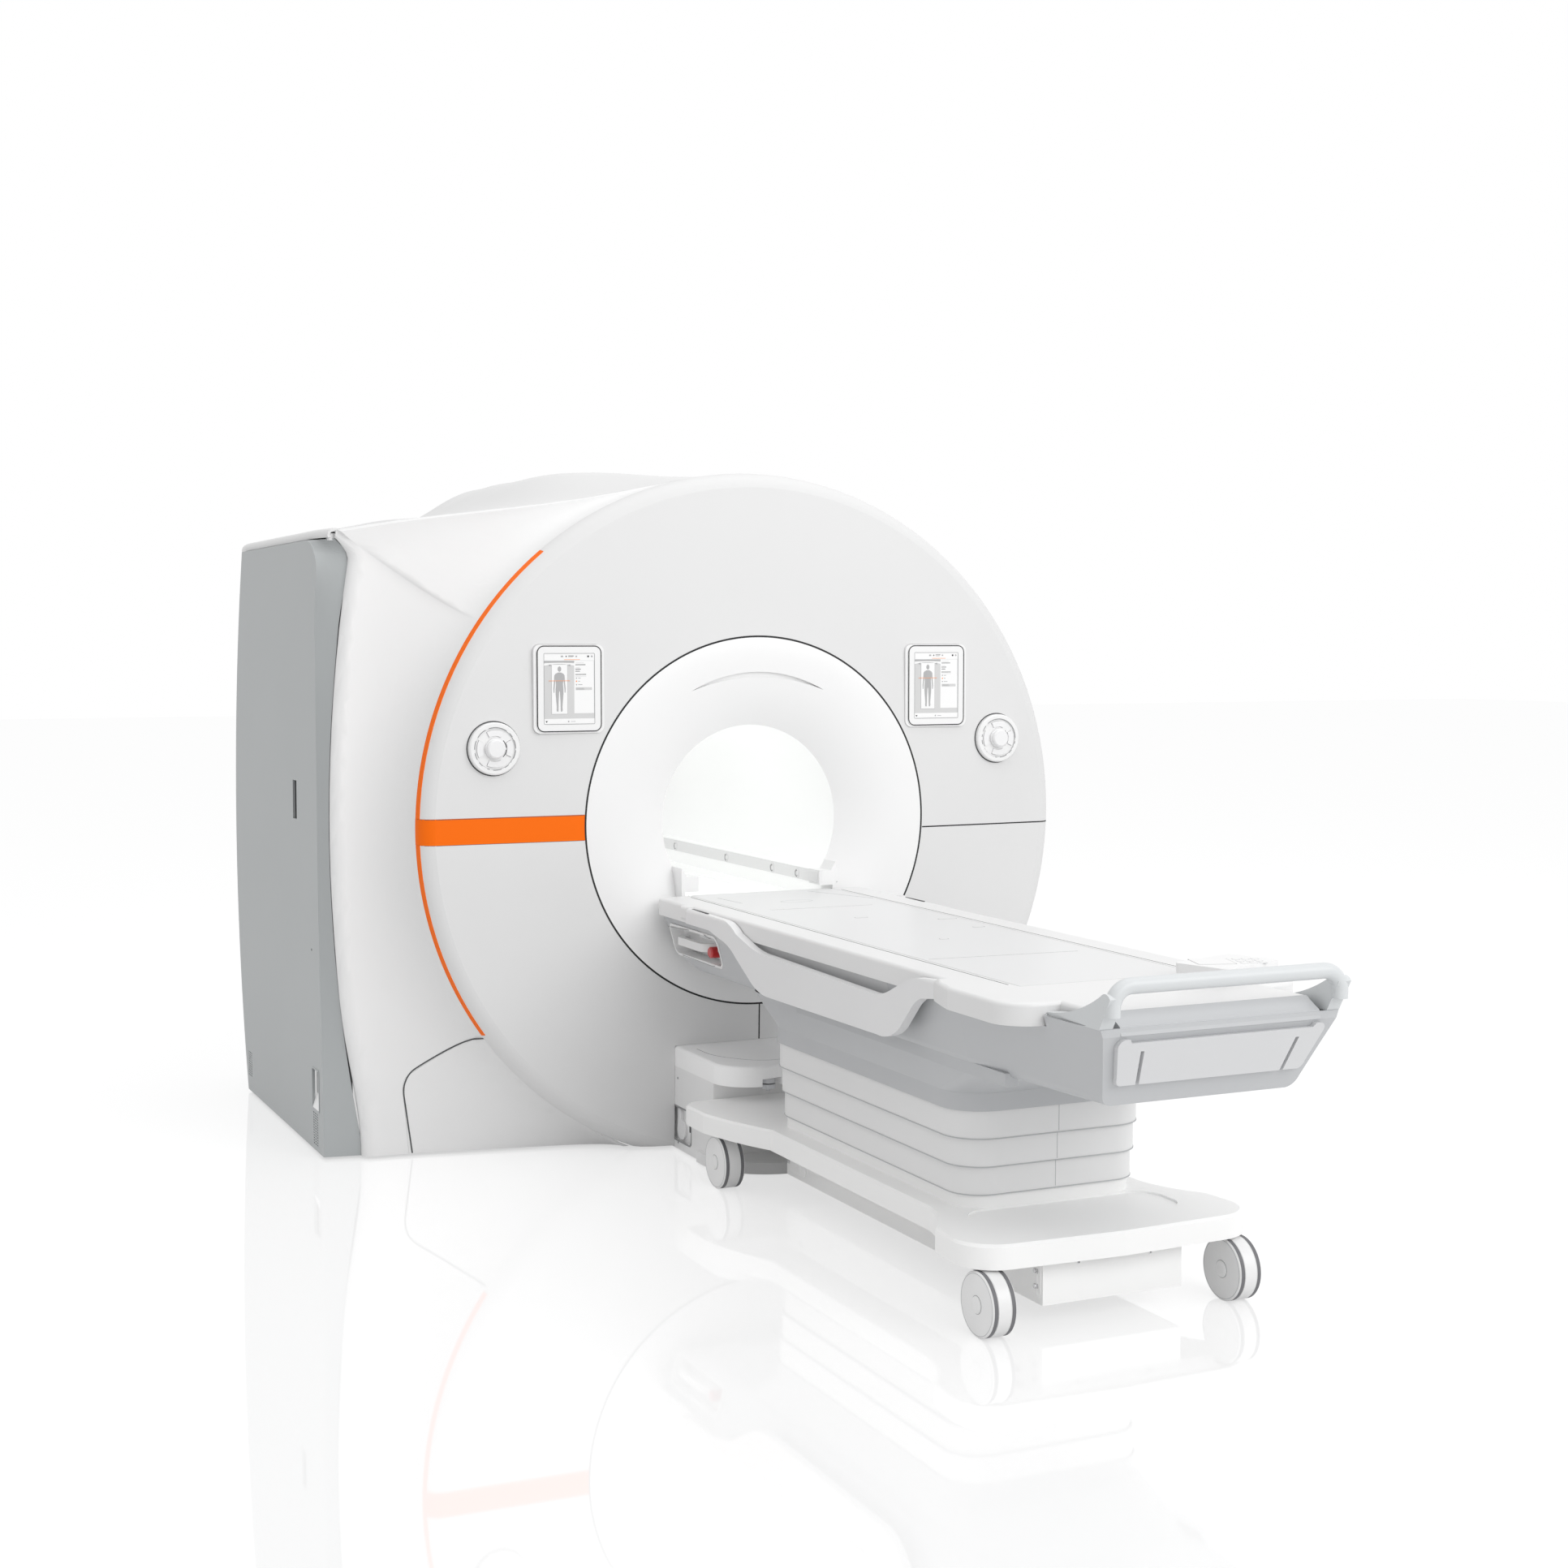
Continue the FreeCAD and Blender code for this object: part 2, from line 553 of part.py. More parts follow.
def front_covers():
    shell = disc_shell()
    strip_ring = accent_ring()
    low, high = depth("0 - 60"), depth("disc_lip + 60")
    far = "disc_dia"
    top = block("0 - " + far, far, low, high, "split_z", "bore_z + " + far)
    band = block("0 - " + far, "0", low, high, "split_z", "split_z + band_height")
    band_room = block("0 - " + far, "fit_gap", low, high, "split_z - 1",
                      "split_z + band_height + fit_gap")
    strip_room = overlap(strip_ring, wedge(low, high, "0.03"))
    holes = []
    for x in ("display_x", "0 - display_x"):
        holes.append(display_block(x, "display_width + 2 * fit_gap", "display_height + 2 * fit_gap",
                                   "display_corner + fit_gap", "0 - 40", "40"))
    for x in ("control_x", "0 - control_x"):
        holes.append(rod("y", "control_dia + 2 * fit_gap", x, depth("0 - 40"), "control_z", "80"))
    node("front_cover_upper", cut(overlap(shell, top), band_room, strip_room, *holes))
    dock = block("0 - dock_half - fit_gap", "dock_half + fit_gap", low, high, "0 - 10",
                 "cap_top_z + fit_gap")
    for name, x0, x1 in (("front_cover_lower_left", "0 - " + far, "0 - fit_gap / 2"),
                         ("front_cover_lower_right", "fit_gap / 2", far)):
        half = block(x0, x1, low, high, "floor_gap", "split_z - fit_gap")
        node(name, cut(overlap(shell, half), dock, strip_room))
    strip = overlap(strip_ring, wedge(low, high, "0"))
    strip_cut = block("0 - " + far, "0", low, high, "split_z - fit_gap", "split_z + band_height + fit_gap")
    node("accent_trim", group(overlap(shell, band), cut(strip, strip_cut)))


def display_block(x, width, height, corner, front, back):
    return prism("y", rounded("%s - (%s) / 2" % (x, width), "%s + (%s) / 2" % (x, width),
                              "display_z - (%s) / 2" % height, "display_z + (%s) / 2" % height,
                              corner), depth(front), depth(back))


def displays():
    boss = display_block("display_x", "display_width", "display_height", "display_corner",
                         "0 - display_front + 3", "display_back")
    bezel = display_block("display_x", "bezel_width", "bezel_height", "display_corner - 5",
                          "0 - display_front", "display_back")
    well = display_block("display_x", "screen_width + 0.2", "screen_height + 0.2", "display_corner - 14",
                         "0 - display_front - 5", "screen_thick + 1 - display_front")
    screen = display_block("display_x", "screen_width", "screen_height", "display_corner - 14",
                           "1 - display_front", "screen_thick + 1 - display_front")
    frame = cut(fuse(boss, bezel), well)
    node("display_frames", group(frame, mirrored(frame)))
    node("screens", group(screen, mirrored(screen)))


# ---------------------------------------------------------------- controls on the disc

QUARTERS = (("top", 90), ("left", 180), ("low", 270), ("right", 0))


def sector(middle, inner, outer, spread, low, high):
    """A piece of a ring about the control's centre."""

    def at(dia, angle):
        return ("control_x + (%s) / 2 * cos(%s)" % (dia, angle),
                "control_z + (%s) / 2 * sin(%s)" % (dia, angle))

    a, b = "%s - (%s)" % (middle, spread), "%s + (%s)" % (middle, spread)
    return prism("y", [
        at(inner, a) + at(inner, str(middle)), at(outer, a),
        at(outer, b) + at(outer, str(middle)), at(inner, b),
    ], depth(low), depth(high))


def controls():
    face = "panel_sink - control_front"
    pod = lathe("y", [
        ("0 - control_front", "control_panel_dia / 2"), ("0 - control_front", "control_dia / 2 - 4"),
        ("4 - control_front", "control_dia / 2"), ("display_back", "control_dia / 2"),
        ("display_back", "(shaft_dia + 2 * pin_gap) / 2"), (face, "(shaft_dia + 2 * pin_gap) / 2"),
        (face, "control_panel_dia / 2"),
    ], "control_x", SEAM, "control_z")
    rooms = []
    buttons = {}
    for name, middle in QUARTERS:
        rooms.append(sector(middle, "button_inner - 2 * run_gap", "button_outer + 2 * run_gap",
                            "button_deg + 0.8", "%s - 1" % face, "%s + 9" % face))
        buttons[name] = sector(middle, "button_inner", "button_outer", "button_deg",
                               "%s - button_proud" % face, "%s + 9 - button_travel - 0.4" % face)
    ring = cut(pod, *rooms)
    node("control_rings", group(ring, mirrored(ring)))
    for name in buttons:
        flipped = {"left": "right", "right": "left"}.get(name, name)
        node("button_right_" + name, buttons[name])
        node("button_left_" + flipped, mirrored(buttons[name]))
    for side, x in (("right", "control_x"), ("left", "0 - control_x")):
        grip = lathe("y", [
            ("0 - knob_proud", "0"), ("0 - knob_proud", "knob_dia / 2 - 7"),
            ("4 - knob_proud", "knob_dia / 2 - 3"), ("0 - 9", "knob_dia / 2 - 3"),
            ("0 - 6", "knob_dia / 2"), ("0 - run_gap", "knob_dia / 2"),
            ("0 - run_gap", "shaft_dia / 2"), ("display_back - (%s) + 3" % face, "shaft_dia / 2"),
            ("display_back - (%s) + 3" % face, "0"),
        ], x, depth(face), "control_z")
        node("knob_" + side, grip)


# ---------------------------------------------------------------- side housing


def flange_x(z):
    """X of the flange's outer edge at a height."""
    up = (z - number("flange_mid_z")) / number("flange_half_z")
    flare = (z - number("flare_low_z")) / number("flare_top_z - flare_low_z")
    flare = max(0.0, min(1.0, flare))
    return number("flange_bulge") * up * up - number("flange_x") - number("flare_out") * flare * flare


def crease_x(z):
    """Where the cove's hollow ends and the sloping band along its edge begins."""
    flare = (z - number("flare_low_z")) / number("shoulder_z - flare_low_z")
    flare = max(0.0, min(1.0, flare))
    up = (z - number("flange_mid_z")) / number("flange_half_z")
    away = number("band_width") - number("band_width + band_sweep") * flare * flare
    return number("flange_bulge") * up * up - number("flange_x") + away


def cove_share(deg):
    """How far a direction lies from the cove's thin end, up to 1 at the shoulder."""
    corner = shoulder_deg()
    share = (deg - number("cove_start_deg")) / (corner - number("cove_start_deg"))
    return max(0.0, min(1.0, share))


def shoulder_deg():
    up = number("shoulder_z - bore_z")
    return math.degrees(math.atan2(up, -number("shoulder_x")))


def crown_radius(deg):
    """Distance from the bore axis to the flange's upper edge, which sweeps up to the shoulder."""
    rim = number("disc_dia") / 2 - 1
    reach_out = math.hypot(number("shoulder_x"), number("shoulder_z - bore_z")) - rim
    share = (deg - number("cove_start_deg")) / (shoulder_deg() - number("cove_start_deg"))
    return rim + reach_out * max(share, 0.0) ** number("cove_sweep_power")


def radius_to(edge_x, deg):
    """Distance from the bore axis, in a direction, to an upright edge given as x over height."""
    turn = math.radians(deg)
    near, far = 900.0, 1800.0
    for _ in range(40):
        middle = (near + far) / 2
        z = max(number("bore_z") + middle * math.sin(turn), 0.0)
        if middle * math.cos(turn) > edge_x(z):
            near = middle
        else:
            far = middle
    return near


def flange_radius(deg):
    if deg <= shoulder_deg():
        return crown_radius(deg)
    return radius_to(flange_x, deg)


def crease_radius(deg):
    if deg <= shoulder_deg():
        return crown_radius(deg) - number("band_width") / 2 * cove_share(deg)
    return radius_to(crease_x, deg)


def cove_depth(deg):
    return number("flange_depth - disc_lip - fit_gap") * max(cove_share(deg), 0.02)


def cove_section(deg):
    """The cove's closed profile in one direction: a quarter ellipse from the disc's rim to the
    crease, a band that slopes back from it, and the flange's lip and tongue."""
    turn = math.radians(deg)
    start, rim = number("disc_lip + fit_gap"), number("disc_dia") / 2 - 1
    run, rise = cove_depth(deg), crease_radius(deg) - rim
    scale = max(cove_share(deg), 0.12)
    wall, gap = number("cover_wall") * max(scale, 0.3), number("fit_gap")
    lip, tongue = number("flange_lip") * scale, number("flange_tongue") * scale

    def at(away, back):
        return V(away * math.cos(turn), back, away * math.sin(turn))

    def curve(shift):
        points = []
        for i in range(9):
            phi = math.radians(90 * i / 8.0)
            away, back = rim + rise * (1 - math.cos(phi)), start + run * math.sin(phi)
            slope = math.hypot(run * math.cos(phi), rise * math.sin(phi)) or 1.0
            points.append(at(away - shift * run * math.cos(phi) / slope,
                             back + shift * rise * math.sin(phi) / slope))
        return points

    front, behind = curve(0.0), curve(wall)
    edge, end = flange_radius(deg), start + run
    behind[-1] = at(edge - wall, end + lip)
    corners = [front[-1], at(edge, end + 0.75 * lip), at(edge, end + lip), at(edge - gap, end + lip),
               at(edge - gap, end + lip + tongue), at(edge - wall, end + lip + tongue), behind[-1]]
    spline = Part.BSplineCurve()
    spline.interpolate(front)
    edges = [spline.toShape()]
    edges += [Part.LineSegment(a, b).toShape() for a, b in zip(corners, corners[1:])]
    spline = Part.BSplineCurve()
    spline.interpolate(behind[::-1])
    edges += [spline.toShape(), Part.LineSegment(behind[0], front[0]).toShape()]
    return Part.Wire(edges)


def cove():
    corner = shoulder_deg()
    start, end = number("cove_start_deg") + 1.5, number("cove_end_deg")
    crown = [start + (corner - start) * i / 9.0 for i in range(10)]
    turn = [corner + away for away in (0, 0.15, 0.3, 0.5, 0.75, 1.05, 1.4, 1.9, 2.6)]
    flank = [turn[-1] + 2.0 * i for i in range(5)]
    flank += [flank[-1] + (end - flank[-1]) * i / 9.0 for i in range(1, 10)]
    wide, drop = number("4 * flange_x"), number("bore_z - floor_gap")
    above = Part.makeBox(wide, wide, wide, V(-wide / 2, -wide / 2, -drop))
    parts = []
    for directions in (crown, turn, flank):
        sections = [cove_section(deg) for deg in directions]
        parts.append(Part.makeLoft(sections, True, directions is turn).common(above))
    shape = parts[0].fuse(parts[1:])
    return feature("Cove", shape.Solids[0], "0", SEAM, "bore_z")


def side_housing():
    """The cove with its access cover, trimmed to meet the grey panel and the roof."""
    whole = cove()
    low, high = depth("0 - 50"), depth("flange_depth + 150")

    def region(grow):
        side = "0 - access_side_x - %s" % grow
        return prism("y", [
            ("0 - 100", "0 - 100"), ("0 - 100", "access_top_z + 330 + %s" % grow),
            ("0 - 883", "access_top_z + %s" % grow),
            (side + " + 28", "access_side_z + 47 + %s" % grow),
            (side, "access_side_z", side + " + 7", "access_side_z + 28"),
            ("0 - access_foot_x - %s" % grow, "0 - 100"),
        ], low, high)

    node("access_cover_left", overlap(whole, region("0")))
    node("side_cover_left", cut(whole, region("fit_gap"), nodes["service_panel"], nodes["top_cover"]))


def service_panel():
    """The grey panel on the left: a pan with a bevel that follows the flange's bowed edge."""
    wall, low = "cover_wall", "floor_gap"

    def pan(x0, x1, inset):
        return prism("x", [
            (depth("panel_front - 33 + %s" % inset), "0 - %s" % inset if inset != "0" else low),
            (depth("panel_front - 13 + %s" % inset), "panel_front_z - %s" % inset,
             depth("panel_front + %s" % inset), "bore_z"),
            (depth("panel_top_front + %s / 2" % inset), "panel_top_z - %s" % inset,
             depth("panel_front + 24 + %s" % inset), "panel_top_z - 19 - %s" % inset),
            (depth("panel_top_rear - %s / 2" % inset), "panel_top_z - %s" % inset),
            (depth("panel_foot_rear - %s" % inset), "0 - %s" % inset if inset != "0" else low,
             depth("panel_rear - %s" % inset), "bore_z - 40"),
        ], x0, x1)

    outer = pan("0 - panel_x", "panel_deep - panel_x", "0")
    inner = pan("%s - panel_x" % wall, "panel_deep - panel_x + 1", wall)
    shell = cut(outer, inner)
    knee, top = number("panel_front_z"), number("panel_top_z")
    rows = [number(low) + (knee - number(low)) * i / 12.0 for i in range(13)]
    rows += [knee + (top - knee) * i / 6.0 for i in range(1, 7)]
    seam = number("flange_depth + flange_lip + panel_seam - seam_to_iso")
    sections = []
    for z in rows:
        share = (z - number("bore_z")) / (number("bore_z") - number(low))
        front = number("panel_front - seam_to_iso")
        front -= number("bevel_bow") * share * share * (1 if z < number("bore_z") else 0.6)
        if z > knee:
            front += number("panel_top_front - panel_front + 13") * (1 - math.sqrt((top - z) / (top - knee)))
        x0, x1 = flange_x(z) - number("2 * fit_gap"), -number("panel_x")
        thick = number(wall)
        corners = [V(x0, seam, z), V(x1, front, z), V(x1, front + 3 * thick, z),
                   V(x1 + thick, front + 3 * thick, z), V(x1 + thick, front + thick, z),
                   V(x0, seam + thick, z)]
        sections.append(Part.makePolygon(corners + corners[:1]))
    bevel = feature("Bevel", Part.makeLoft(sections, True, False))
    node("service_panel", fuse(shell, bevel))


def roof_base(deg):
    """The roof's front edge in a direction, as (x, depth, z)."""
    turn = math.radians(deg)
    start = number("cove_start_deg")
    away = flange_radius(deg) if deg > start else number("disc_dia") / 2 - 1
    scale = max(cove_share(deg), 0.12)
    tongue = cove_depth(deg) + number("flange_lip + flange_tongue") * scale
    fade = max(0.0, min(1.0, (deg - start + 26) / 26.0))
    back = number("disc_lip + 2 * fit_gap") + tongue * fade * fade * (3 - 2 * fade)
    away += number("fit_gap") * fade
    return V(away * math.cos(turn), back, number("bore_z") + away * math.sin(turn))


def roof_lift(x):
    """How far the hump on the roof stands up, across the magnet."""
    spread = number("hump_left" if x < number("hump_x") else "hump_right")
    return number("hump_height") * math.exp(-((x - number("hump_x")) / spread) ** 2)


def overhang(x, y):
    """How far the lid's left edge runs out over the grey panel, and back in behind it."""
    nose, tail = number("roof_nose_x"), number("roof_tail")
    if x > 30 - nose:
        return 0.0
    out = min(1.0, (y - number("flange_depth")) / number("roof_nose"))
    out = max(0.0, out * (2 - out)) * number("roof_lip_x - roof_nose_x")
    back = max(0.0, (y - tail) / (number("rear_depth") - tail))
    return -out + back * back * number("roof_lip_x - panel_x + panel_deep + 10")


def roof():
    corner = shoulder_deg()
    nose, skirt = number("roof_nose_x"), number("roof_skirt")
    start = roof_base(corner)
    top = number("shoulder_z") + 1.5
    edges = [V(-nose, start.y, top - skirt), V(-nose + 1, start.y, top - 8), V(-nose + 8, start.y, top),
             V(-nose + 38, start.y, top + 1)]
    steps = 18
    first = corner - 1.6
    for i in range(steps + 1):
        edges.append(roof_base(first + (number("roof_end_deg") - first) * i / steps))
    rear = number("rear_depth - fit_gap")
    rise, wall = number("roof_rise"), number("roof_wall")
    outer, inner = [], []
    for edge in edges:
        lift = roof_lift(edge.x)
        turn = math.atan2(edge.z - number("bore_z"), edge.x)
        side = V(math.cos(turn), 0, math.sin(turn)) if edge.x > -600 else V(0, 0, 1)
        if edge in edges[:2]:
            side = V(-1, 0, 0)
        elif edge == edges[2]:
            side = V(-0.7, 0, 0.7)
        line, under = [], []
        for j in range(9):
            share = j / 8.0
            y = edge.y + (rear - edge.y) * share
            climb = min(1.0, (y - edge.y) / rise)
            climb = climb * climb * (3 - 2 * climb)
            point = V(edge.x + overhang(edge.x, y), y, edge.z + lift * climb)
            line.append(point + V(0, -number("seam_to_iso"), 0))
            under.append(point + V(0, -number("seam_to_iso"), 0) - side * wall)
        outer.append(line)
        inner.append(under)
    node("top_cover", feature("Roof", skin(outer, inner)))


def right_cover():
    rim = "disc_dia / 2 - 21"
    low, high = depth("disc_lip + fit_gap"), depth("rear_depth - fit_gap")
    pipe = cut(drum("2 * (%s)" % rim, low, high), drum("2 * (%s - cover_wall)" % rim, low, high))
    far = "disc_dia"
    a, b = "roof_end_deg - 0.1", "right_low_deg"
    keep = prism("y", [
        ("0", "bore_z"), ("%s * cos(%s)" % (far, a), "bore_z + %s * sin(%s)" % (far, a)),
        ("2 * " + far, "bore_z"), ("%s * cos(%s)" % (far, b), "bore_z + %s * sin(%s)" % (far, b)),
    ], low, high)
    floor = block("0", far, low, high, "0 - 200", "floor_gap")
    node("side_cover_right", cut(overlap(pipe, keep), floor))


def rear_wing():
    """The flat of the rear cover outside its round part, up to the roof's rear edge."""
    left, low = -number("panel_x - panel_deep - fit_gap"), number("floor_gap")
    corner = shoulder_deg()
    rear, inset = number("rear_depth"), number("roof_wall + fit_gap")
    line = [V(left, 0, low), V(left, 0, number("shoulder_z") - inset)]
    for i in range(15):
        edge = roof_base(corner - 5.0 - (corner - 95.0) * i / 14.0)
        line.append(V(edge.x, 0, edge.z + roof_lift(edge.x) - inset))
    line.append(V(0, 0, low))
    face = Part.Face(Part.makePolygon(line + line[:1]))
    return face.extrude(V(0, number("cover_wall"), 0))


def rear_cover():
    back, bore = "rear_depth + rear_thick", "bore_dia / 2 + liner_wall"
    wall = "cover_wall"
    dish = turned([
        ("liner_rear + fit_gap", bore), ("liner_rear + 40", bore),
        (back, "rear_flare_dia / 2", "rear_depth + 12", bore + " + 34"),
        (back, "rear_bulge_dia / 2"), ("rear_depth", "rear_dia / 2"),
        ("rear_depth", "rear_dia / 2 - 30"), (back + " - " + wall, "rear_bulge_dia / 2 - 12"),
        (back + " - " + wall, "rear_flare_dia / 2"),
        ("liner_rear + 40", bore + " + " + wall, "rear_depth + 6", bore + " + 42"),
        ("liner_rear + fit_gap", bore + " + " + wall),
    ])
    left = "panel_deep - panel_x + fit_gap"
    wing = feature("Wing", rear_wing(), "0", depth("rear_depth"))
    shut = drum("rear_dia - 4", depth("rear_depth - 5"), depth("rear_depth + 60"))
    side = block(left, "%s + %s" % (left, wall), depth("panel_foot_rear - 60"),
                 depth("rear_depth + 1"), "floor_gap", "shoulder_z - roof_skirt - 14")
    below = block("0 - disc_dia", "disc_dia", "0", depth("rear_depth + rear_thick + 50"),
                  "0 - 200", "floor_gap")
    node("rear_cover", cut(fuse(dish, cut(wing, shut), side), below))


# ---------------------------------------------------------------- docking station


def dock():
    back = depth("magnet_front - fit_gap")
    front = reach("dock_reach")
    shell = block("0 - dock_half", "dock_half", front, back, "floor_gap / 2", "dock_z")
    room = block("0 - dock_half + dock_wall", "dock_half - dock_wall", front + " + dock_wall",
                 depth("magnet_front + 5"), "0 - 5", "dock_z - dock_wall")
    shoe_half = [
        ("0", reach("shoe_reach")), ("95", reach("shoe_reach")),
        ("dock_half + 15", reach("dock_reach - 60"), "215", reach("shoe_reach - 42")),
        ("dock_half + 15", reach("dock_reach - 100")), ("0", reach("dock_reach - 100")),
    ]
    shoe = prism("z", both_sides(shoe_half), "floor_gap / 2", "shoe_height")
    pan = prism("x", rounded(reach("recess_reach"), depth("37"), "recess_low_z", "recess_high_z", "16"),
                "0 - dock_half - 1", "recess_deep - dock_half")
    lining = prism("x", rounded(reach("recess_reach + 4"), depth("41"), "recess_low_z - 4",
                                "recess_high_z + 4", "20"), "0 - dock_half", "recess_deep + 4 - dock_half")
    axle = rod("x", "14 + 2 * pin_gap", "0 - dock_half", reach("lever_reach"), "lever_z", "20")
    shell = cut(shell, room)
    base_part = cut(fuse(shell, cut(shoe, inside_room(front)), lining), pan, axle)
    node("dock_box", base_part)
    handle = lathe("x", [
        ("0", "0"), ("0", "lever_dia / 2"), ("lever_thick", "lever_dia / 2"), ("lever_thick", "7"),
        ("recess_deep + 3", "7"), ("recess_deep + 3", "0"),
    ], "recess_deep - lever_thick - run_gap - dock_half", reach("lever_reach"), "lever_z")
    stem = prism("x", rounded(reach("lever_reach + 2"), reach("lever_reach + 2 - lever_width"), "lever_z",
                              "lever_z + lever_high", "9"),
                 "recess_deep - lever_thick - run_gap - dock_half", "recess_deep - run_gap - dock_half")
    node("dock_lever", fuse(handle, stem))
    half = [
        ("0", reach("cap_reach")), ("dock_half - cap_corner - 60", reach("cap_reach - 3")),
        ("dock_half", reach("cap_reach - 95"), "dock_half - 30", reach("cap_reach - 28")),
        ("dock_half", back), ("0", back),
    ]
    cap = prism("z", both_sides(half), "dock_z", "cap_top_z")
    cap = softened(cap, "10", lambda e: abs(e.CenterOfMass.z - number("cap_top_z")) < 0.01 and
                   e.CenterOfMass.y < number(back) - 1)
    notch = []
    rollers = []
    for x in ("latch_x", "0 - latch_x"):
        notch.append(block("%s - 34" % x, "%s + 34" % x, reach("cap_reach + 20"),
                           reach("cap_reach - 74"), "dock_z - 1", "dock_z + 22"))
        y = reach("latch_reach + 16")
        pin_rod = rod("z", "latch_pin_dia", x, y, "dock_z - 20", "41.8")
        low_disc = rod("z", "roller_dia", x, y, "dock_z - 12", "roller_thick")
        high_disc = rod("z", "roller_dia", x, y, "dock_z - 8 + roller_thick", "roller_thick")
        rollers.append(fuse(pin_rod, low_disc, high_disc))
    node("dock_cap", cut(cap, *notch))
    node("latch_rollers", group(*rollers))


def inside_room(front):
    """Keeps the shoe's middle out of the box."""
    return block("dock_wall - dock_half", "dock_half - dock_wall", front + " + dock_wall",
                 "0 - seam_to_iso + 300", "0 - 5", "dock_z")


# ---------------------------------------------------------------- table base


def slab_half_outline(inset):
    """Right half of the base cover seen from above, as (x, y)."""
    i = " - (%s)" % inset

    def at(x, far):
        return (x + i, reach(far))

    return [
        ("0", reach("dock_reach + fit_gap + (%s)" % inset)),
        at("slab_half - 60", "dock_reach + fit_gap + 6 + (%s)" % inset),
        at("slab_half", "dock_reach + fit_gap + 70") +
        ("slab_half - 16" + i, reach("dock_reach + fit_gap + 22 + (%s)" % inset)),
        at("slab_half", "dock_reach + fit_gap + 176"),
        at("waist_half", "waist_head - 20") + ("slab_half - 36" + i, reach("dock_reach + fit_gap + 320")),
        at("waist_half", "waist_foot"),
        at("slab_half - 10", "slab_foot - 200") + ("waist_half + 26" + i, reach("waist_foot + 84")),
        at("slab_half", "slab_foot - slab_corner"),
        at("slab_half - slab_corner", "slab_foot - (%s)" % inset) + (
            "slab_half - 0.3 * slab_corner" + i, reach("slab_foot - 0.3 * slab_corner - (%s)" % inset)),
        ("0", reach("slab_foot + 14 - (%s)" % inset)),
    ]


def tier_outline(level, inset):
    """Outline of one lift sleeve; level 1 is the top one."""
    step = "tier_step * (%s - 1) + (%s)" % (level, inset)
    return rounded("0 - tier_half + %s" % step, "tier_half - (%s)" % step,
                   reach("tier_foot - (%s)" % step), reach("tier_head + (%s)" % step),
                   "tier_corner - (%s)" % step)


def sleeve(level, low, high, lip):
    """A sleeve of the lift's skirt with a guide lip at its top."""
    wall = prism("z", tier_outline(level, "0"), low, high)
    room = prism("z", tier_outline(level, "tier_wall"), "%s - 1" % low, "%s + 1" % high)
    if not lip:
        return cut(wall, room)
    guide = prism("z", tier_outline(level, "tier_wall + lip_gap - tier_step"), "%s - tier_lip" % high, high)
    return cut(fuse(wall, guide), room)


def table_base():
    cover = fuse(
        prism("z", both_sides(slab_half_outline("0")), "slab_low_z", "slab_top_z - slab_bevel"),
        loft("z", [("slab_top_z - slab_bevel", both_sides(slab_half_outline("0"))),
                   ("slab_top_z", both_sides(slab_half_outline("slab_bevel * 0.8")))], True),
    )
    room = prism("z", both_sides(slab_half_outline("slab_wall")), "slab_low_z - 1",
                 "slab_top_z - slab_wall - dish_sink")
    dish = prism("z", both_sides([
        ("0", reach("tier_foot - 20")), ("210", reach("tier_foot - 20")),
        ("272", reach("tier_foot + 60"), "256", reach("tier_foot + 6")),
        ("272", reach("tier_foot + 100")),
        ("200", reach("tier_foot + 150"), "252", reach("tier_foot + 138")),
        ("0", reach("tier_foot + 156")),
    ]), "slab_top_z - dish_sink", "slab_top_z + 1")
    low_sleeve = sleeve("4", "slab_top_z - slab_wall - dish_sink", "slab_top_z + 64", True)
    well = block("0 - mast_half_x - fit_gap", "mast_half_x + fit_gap",
                 reach("mast_reach + mast_half_y + fit_gap"), reach("mast_reach - mast_half_y - fit_gap"),
                 "slab_low_z", "slab_top_z + 1")
    keep = prism("z", tier_outline("4", "0"), "slab_top_z - 2 * dish_sink", "slab_top_z + 5")
    node("chassis_cover", cut(fuse(cut(cover, room, cut(dish, keep)), low_sleeve), well))


